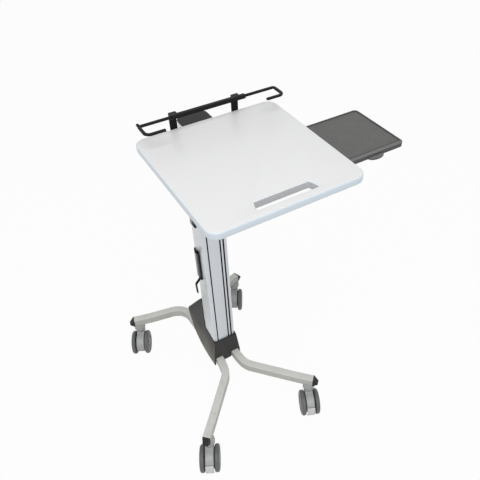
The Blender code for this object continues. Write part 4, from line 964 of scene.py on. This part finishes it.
stands_for(tray, "tray", [pebble], "side_tray")

# %% [markdown]
# ## Wheels
#
# Each caster has two wheels: a tread with round shoulders on a hub disc that is set back
# and stiffened by pockets. One wheel is modelled lying flat, as a cylinder whose outer
# cap is inset again and again, with each new ring moved in or out. Then eight copies are
# turned upright and moved to their axles.

# %% Model one wheel
WHEEL_RADIUS = 0.051
WHEEL_WIDTH = 0.0196
FACES_ROUND = 72
INNER_FACE = ((0.012, -0.002),)
OUTER_FACE = (    # width of each ring, and how far all inside it sinks
    (0.0100, 0.0), (0.0010, 0.0020),                      # tread, step down to the hub
    (0.0012, 0.0), (0.0030, 0.0), (0.0008, 0.0008),       # lip, flat, groove
    (0.0165, 0.0), (0.0012, -0.0022),                     # wide ring, rise to the boss
    (0.0050, 0.0), (0.0008, 0.0008), (0.0040, -0.0005),   # boss, its dimple and button
)


def sink(distance):
    bpy.ops.transform.translate(value=(0.0, 0.0, -distance))


def ring_after_ring(rings):
    """Insets the selected cap again and again."""
    for width, depth in rings:
        bpy.ops.mesh.inset(thickness=width)
        if depth:
            sink(depth)


bpy.ops.object.select_all(action="DESELECT")
bpy.ops.mesh.primitive_cylinder_add(vertices=FACES_ROUND, radius=WHEEL_RADIUS,
                                    depth=WHEEL_WIDTH, location=(0.0, 0.0, 0.0))
wheel_model = bpy.context.object
wheel_model.name = "wheel_model"
edit()
pick("FACE", lambda middle, normal: normal.z < -0.9)
ring_after_ring(INNER_FACE)
pick("FACE", lambda middle, normal: normal.z > 0.9)
ring_after_ring(OUTER_FACE)
leave()
print("rings on the wheel:", len(wheel_model.data.polygons) // FACES_ROUND)

# %% [markdown]
# The pockets are cut into the wide ring. For each one, a run of faces is picked by its
# angle, inset to leave a rib, and moved in. Last, the two rims of the tread are rounded
# with a wide bevel, which makes the shoulders that the photograph shows.

# %% Pockets, shoulders, the wheel's colours and its painted inner shade
POCKET_SPAN = math.radians(60.0)
POCKET_START = 0.0205
POCKET_END = 0.0315
POCKET_WALL = 0.0014
POCKET_DEPTH = 0.0024
RIB_HALF = math.radians(5.5)
SHOULDER = 0.0085
HUB_EDGE = 0.044
INNER_START = 0.0045
rim_level = 0.9 * WHEEL_WIDTH / 2


def off_axis(middle):
    return math.hypot(middle.x, middle.y)


def in_pocket(middle, normal):
    if not (normal.z > 0.9 and POCKET_START < off_axis(middle) < POCKET_END):
        return False
    turn = math.atan2(middle.y, middle.x) % POCKET_SPAN
    return RIB_HALF < turn < POCKET_SPAN - RIB_HALF


edit()
print("faces in pockets:", pick("FACE", in_pocket))
bpy.ops.mesh.inset(thickness=POCKET_WALL)
sink(POCKET_DEPTH)
for side in (1, -1):
    bevel(lambda middle, direction: level(middle, direction)
          and off_axis(middle) > WHEEL_RADIUS - NEAR and side * middle.z > rim_level,
          SHOULDER, 6)
leave()
for look in (tread_plastic, hub_plastic, inner_tread_shade):
    wheel_model.data.materials.append(look)
edit()
# Colour 1 is the hub on the outer face; colour 2, on the inner side, is painted shade.
for index, test in (
    (1, lambda middle, normal: off_axis(middle) < HUB_EDGE and middle.z > 0.0),
    (2, lambda middle, normal: middle.z < -INNER_START),
):
    print("faces with colour", index, ":", pick("FACE", test))
    wheel_model.active_material_index = index
    bpy.ops.object.material_slot_assign()
leave()
select_only(wheel_model)
bpy.ops.object.shade_smooth_by_angle(angle=SMOOTH_BELOW)

# %% Copy the wheel to its eight axles
CORNERS = ("front_left", "front_right", "rear_left", "rear_right")


def middle_of(node):
    low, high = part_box(node)
    return (low + high) / 2


for corner in CORNERS:
    centres = {side: middle_of(f"wheel_{corner}_{side}") for side in "ab"}
    across = (centres["b"] - centres["a"]).normalized()
    for side, outward in (("a", -across), ("b", across)):
        piece = copy_of(wheel_model, f"rolling_wheel_{corner}_{side}")
        axes = turn_to(UP, outward.cross(UP), outward)
        settle(piece, Matrix.Translation(centres[side]) @ axes)
        body = f"wheel_{corner}_{side}"
        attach(piece, body)
        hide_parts(body)
bpy.data.objects.remove(wheel_model)
print("wheels:", 2 * len(CORNERS))

# %% [markdown]
# ## Caster hoods and lock pedals
#
# Between its two wheels each caster has a moulded hood, which carries the axle, and on
# top of it a collar that turns under the leg. The front casters also have a pedal at the
# back: pressed in, it locks them. Hood and pedal are the same all the way across, so
# their side views are drawn as outlines and thickened. Angles on them are counted round
# the axle, from straight back up to the top.

# %% Draw the side views
AXLE_HEIGHT = 0.051
TRAIL = 0.0334
HOOD_HALF = 0.0159
HOOD_RADIUS = 0.0415
SEAT_RADIUS = 0.0385
UNDER_RADIUS = 0.0275
UNDER_START = -70.0
UNDER_END = -150.0
CROWN = 100.0
NECK = 0.017
NECK_RISE = 0.03
NECK_DROP = 0.04
COLLAR_TOP = 0.1397
PEDAL_TOP = 23.5
PEDAL_TOE = -27.0
PEDAL_THICK = 0.005
PEDAL_GAP = 0.0012
PEDAL_LIP = 0.0006
TOE_LIP = 0.0015
PEDAL_FLARE = 0.01
FLARE_START = 33.0
FLARE_SPAN = 61.0
RIB_TOPS = (-1.0, -6.0, -11.0, -16.0)
RIB_HIGH = 0.0007


def on_arc(radius, degrees):
    turn = math.radians(degrees)
    return (-TRAIL - radius * math.cos(turn), AXLE_HEIGHT + radius * math.sin(turn))


def arc(radius, start, end, step=4.0):
    count = max(2, round(abs(end - start) / step))
    return [on_arc(radius, start + (end - start) * index / count)
            for index in range(count + 1)]


def hood_outline(with_pedal):
    """Down the back, past the pedal's seat if there is one, and up round the front."""
    back = arc(HOOD_RADIUS, CROWN, PEDAL_TOP + 3.0 if with_pedal else PEDAL_TOE)
    if with_pedal:
        back += arc(SEAT_RADIUS, PEDAL_TOP + 2.0, PEDAL_TOE)
    front = [(NECK, AXLE_HEIGHT + NECK_RISE), (NECK, COLLAR_TOP - NECK_DROP)]
    return back + arc(UNDER_RADIUS, UNDER_START, UNDER_END, 8.0) + front


def flared(degrees, radius):
    """A point on the pedal, which stands further off the hood towards its toe."""
    return on_arc(radius + PEDAL_FLARE * (FLARE_START - degrees) / FLARE_SPAN, degrees)


def pedal_outline():
    """Down the outside, over four grip ribs, and back up the inside."""
    outer = SEAT_RADIUS + PEDAL_THICK
    points = [flared(PEDAL_TOP, outer - PEDAL_LIP)]
    points += [flared(degrees, outer) for degrees in (20.0, 15.0, 10.0, 5.0, 1.0)]
    for top in RIB_TOPS:
        points += [flared(top, outer), flared(top - 0.7, outer - RIB_HIGH),
                   flared(top - 2.0, outer - RIB_HIGH), flared(top - 2.7, outer)]
    points += [flared(-21.0, outer), flared(-25.0, outer)]
    points += [flared(PEDAL_TOE, outer - TOE_LIP)]
    return points + [flared(degrees, SEAT_RADIUS + PEDAL_GAP)
                     for degrees in (PEDAL_TOE, -20.0, -10.0, 0.0, 10.0, PEDAL_TOP)]


print("points on the pedal:", len(pedal_outline()))

# %% [markdown]
# The collar is round, so it is turned: a disc is pushed up and scaled once for every row
# of its profile. It is then joined on to the hood as one moulding.

# %% Model hood, collar and pedal
COLLAR_ROWS = (    # radius, and height over the collar's top
    (0.0120, -0.0620), (0.0150, -0.0410), (0.0185, -0.0330), (0.0220, -0.0265),
    (0.0230, -0.0245), (0.0230, -0.0125), (0.0222, -0.0115), (0.0195, -0.0115),
    (0.0195, -0.0098), (0.0210, -0.0098), (0.0215, -0.0092), (0.0215, 0.0),
)
COLLAR_FACES = 56
HOOD_EDGE = 0.0016
PEDAL_EDGE = 0.0008
PEDAL_INSET = 0.0003
SIDEWAYS = Matrix(((0.0, 0.0, 1.0), (1.0, 0.0, 0.0), (0.0, 1.0, 0.0))).to_4x4()


def hood_model(name, with_pedal):
    hood = plate(name, hood_outline(with_pedal), HOOD_HALF, HOOD_EDGE)
    settle(hood, SIDEWAYS)
    rows = [(radius, COLLAR_TOP + height) for radius, height in COLLAR_ROWS]
    combine(hood, turned("collar", rows, COLLAR_FACES), "UNION")
    bpy.ops.object.shade_smooth_by_angle(angle=SMOOTH_BELOW)
    return hood


MODELS = {"front": hood_model("front_hood", True), "rear": hood_model("rear_hood", False)}
pedal_model = plate("pedal_model", pedal_outline(), HOOD_HALF - PEDAL_INSET, PEDAL_EDGE)
settle(pedal_model, SIDEWAYS)
print("hood faces:", len(MODELS["front"].data.polygons))

# %% Set hoods and pedals under the legs
JOINTS = {joint["name"]: joint for joint in frame["record"]["behaviour"]["joints"]}
for corner in CORNERS:
    across = middle_of(f"wheel_{corner}_b") - middle_of(f"wheel_{corner}_a")
    across.normalize()
    stem = Vector(JOINTS["swivel_" + corner]["pos_m"])
    axes = turn_to(across, UP.cross(across), UP)
    spot = Matrix.Translation((stem.x, stem.y, 0.0)) @ axes
    end = corner.split("_")[0]
    hood = copy_of(MODELS[end], "caster_hood_" + corner)
    settle(hood, spot)
    stands_for(hood, "caster_" + corner, [hood_plastic],
               "caster_body_" + corner)
    if end == "front":
        pedal = copy_of(pedal_model, "ribbed_pedal_" + corner)
        settle(pedal, spot)
        stands_for(pedal, "pedal_" + corner, [pedal_plastic],
                   "lock_pedal_" + corner)
for model in (*MODELS.values(), pedal_model):
    bpy.data.objects.remove(model)

# %% [markdown]
# ## Legs
#
# The legs are bent rectangular steel tube. A long smooth sweep is what curves are for:
# one curve follows the leg's centre line, a small rounded rectangle gives the section,
# and the result is turned into a mesh. Each bend gets many short steps, so the tube
# looks bent and not folded.

# %% Draw the centre lines and sweep the tube
LEG_WIDTH = 0.03
LEG_HEIGHT = 0.036
LEG_CORNER = 0.0045
LEG_SPREAD = 0.0349
LEG_AXIS = 0.158
LEG_ROOT = 0.1735
LEG_OVERHANG = 0.0165
LEVEL_LENGTH = 0.06
BEND_RADII = (0.08, 0.0795, 0.2)
FRONT_LEG = {"stem": (0.2231, -0.3074), "bend": (0.0436, -0.1197, 0.1674),
             "start": (0.0475, LEG_ROOT), "knee": (-0.062, 0.174)}
REAR_LEG = {"stem": (0.2372, 0.3308), "bend": (0.0359, 0.2782, 0.169),
            "start": (0.0525, LEG_ROOT), "knee": (0.1408, 0.1806)}


def bent_line(corners, radii, step_degrees=4.0):
    """A line through corners with an arc at each inner one."""
    points = [corners[0]]
    for here, before, after, radius in zip(corners[1:-1], corners, corners[2:], radii):
        back = (before - here).normalized()
        ahead = (after - here).normalized()
        opening = back.angle(ahead)
        arm_start = here + back * (radius / math.tan(opening / 2))
        centre = here + (back + ahead).normalized() * (radius / math.sin(opening / 2))
        normal = back.cross(ahead).normalized()
        sweep = math.pi - opening
        steps = max(3, round(math.degrees(sweep) / step_degrees))
        for step in range(steps + 1):
            turn = Matrix.Rotation(-sweep * step / steps, 3, normal)
            points.append(centre + turn @ (arm_start - centre))
    points.append(corners[-1])
    return points


def leg_points(side, plan):
    bend = Vector((side * plan["bend"][0], *plan["bend"][1:]))
    stem = Vector((side * plan["stem"][0], plan["stem"][1], LEG_AXIS))
    outward = (stem - bend).normalized()
    bend_end = stem - outward * LEVEL_LENGTH
    flat = Vector((outward.x, outward.y, 0.0)).normalized()
    corners = [
        Vector((side * LEG_SPREAD, *plan["start"])),
        Vector((side * LEG_SPREAD, *plan["knee"])),
        bend,
        Vector((bend_end.x, bend_end.y, LEG_AXIS)),
        stem + flat * LEG_OVERHANG,
    ]
    return [at(*point) for point in bent_line(corners, BEND_RADII)]


def section_curve(width, height, radius, steps=5):
    """A closed rounded rectangle, as a curve to sweep."""
    points = []
    for quarter in range(4):
        middle = math.radians(45.0 + 90.0 * quarter)
        centre = Vector((math.copysign(width / 2 - radius, math.cos(middle)),
                         math.copysign(height / 2 - radius, math.sin(middle))))
        for step in range(steps + 1):
            turn = math.radians(90.0 * (quarter + step / steps))
            points.append(centre + radius * Vector((math.cos(turn), math.sin(turn))))
    made = drawn("tube_section", points, True)
    made.data.dimensions = "2D"
    return made


def sweep(name, points, section):
    """Carries the section along the points and makes a closed mesh of it."""
    curve = drawn(name, points, False)
    curve.data.dimensions = "3D"
    curve.data.twist_mode = "Z_UP"
    curve.data.bevel_mode = "OBJECT"
    curve.data.bevel_object = section
    curve.data.use_fill_caps = True
    return as_mesh(curve)


tube = section_curve(LEG_WIDTH, LEG_HEIGHT, LEG_CORNER)
LEG_LINES = {}
for corner in CORNERS:
    end, hand = corner.split("_")
    plan = FRONT_LEG if end == "front" else REAR_LEG
    LEG_LINES[corner] = leg_points(-1 if hand == "left" else 1, plan)
    leg = sweep("bent_leg_" + corner, LEG_LINES[corner], tube)
    stands_for(leg, "base", [leg_coat], "leg_" + corner)
bpy.data.objects.remove(tube)

# %% [markdown]
# A moulded cap closes each leg. Its top is flush with the tube. From there it slopes out
# to a blunt nose in its lower half, and it gets narrower on the way. Its side view is
# drawn as an outline and thickened across the leg, and then the nose is scaled in.

# %% Close the legs with caps
CAP_REACH = 0.0208
CAP_NARROWING = 0.68
CAP_INSET = 0.0005
CAP_EDGE = 0.0011
cap_half = LEG_WIDTH / 2 - CAP_INSET
cap_tall = LEG_HEIGHT / 2 - CAP_INSET
cap_model = plate("cap_model", [
    (0.0003, cap_tall),
    (0.0026, cap_tall),
    (CAP_REACH - 0.0012, -0.14 * cap_tall),
    (CAP_REACH, -0.24 * cap_tall),
    (CAP_REACH - 0.0004, -0.48 * cap_tall),
    (CAP_REACH - 0.003, -0.62 * cap_tall),
    (0.004, -cap_tall),
    (0.0003, -cap_tall),
], cap_half, CAP_EDGE)
edit()
pick("FACE", lambda middle, normal: middle.x > 0.7 * CAP_REACH)
bpy.ops.transform.resize(value=(1.0, 1.0, CAP_NARROWING), center_override=(0.0, 0.0, 0.0))
leave()
for corner, line in LEG_LINES.items():
    outward = (line[-1] - line[-2]).normalized()
    cap = copy_of(cap_model, "nose_cap_" + corner)
    axes = turn_to(outward, UP, outward.cross(UP))
    settle(cap, Matrix.Translation(line[-1]) @ axes)
    stands_for(cap, "base", [cap_moulding], "leg_cap_" + corner)
bpy.data.objects.remove(cap_model)
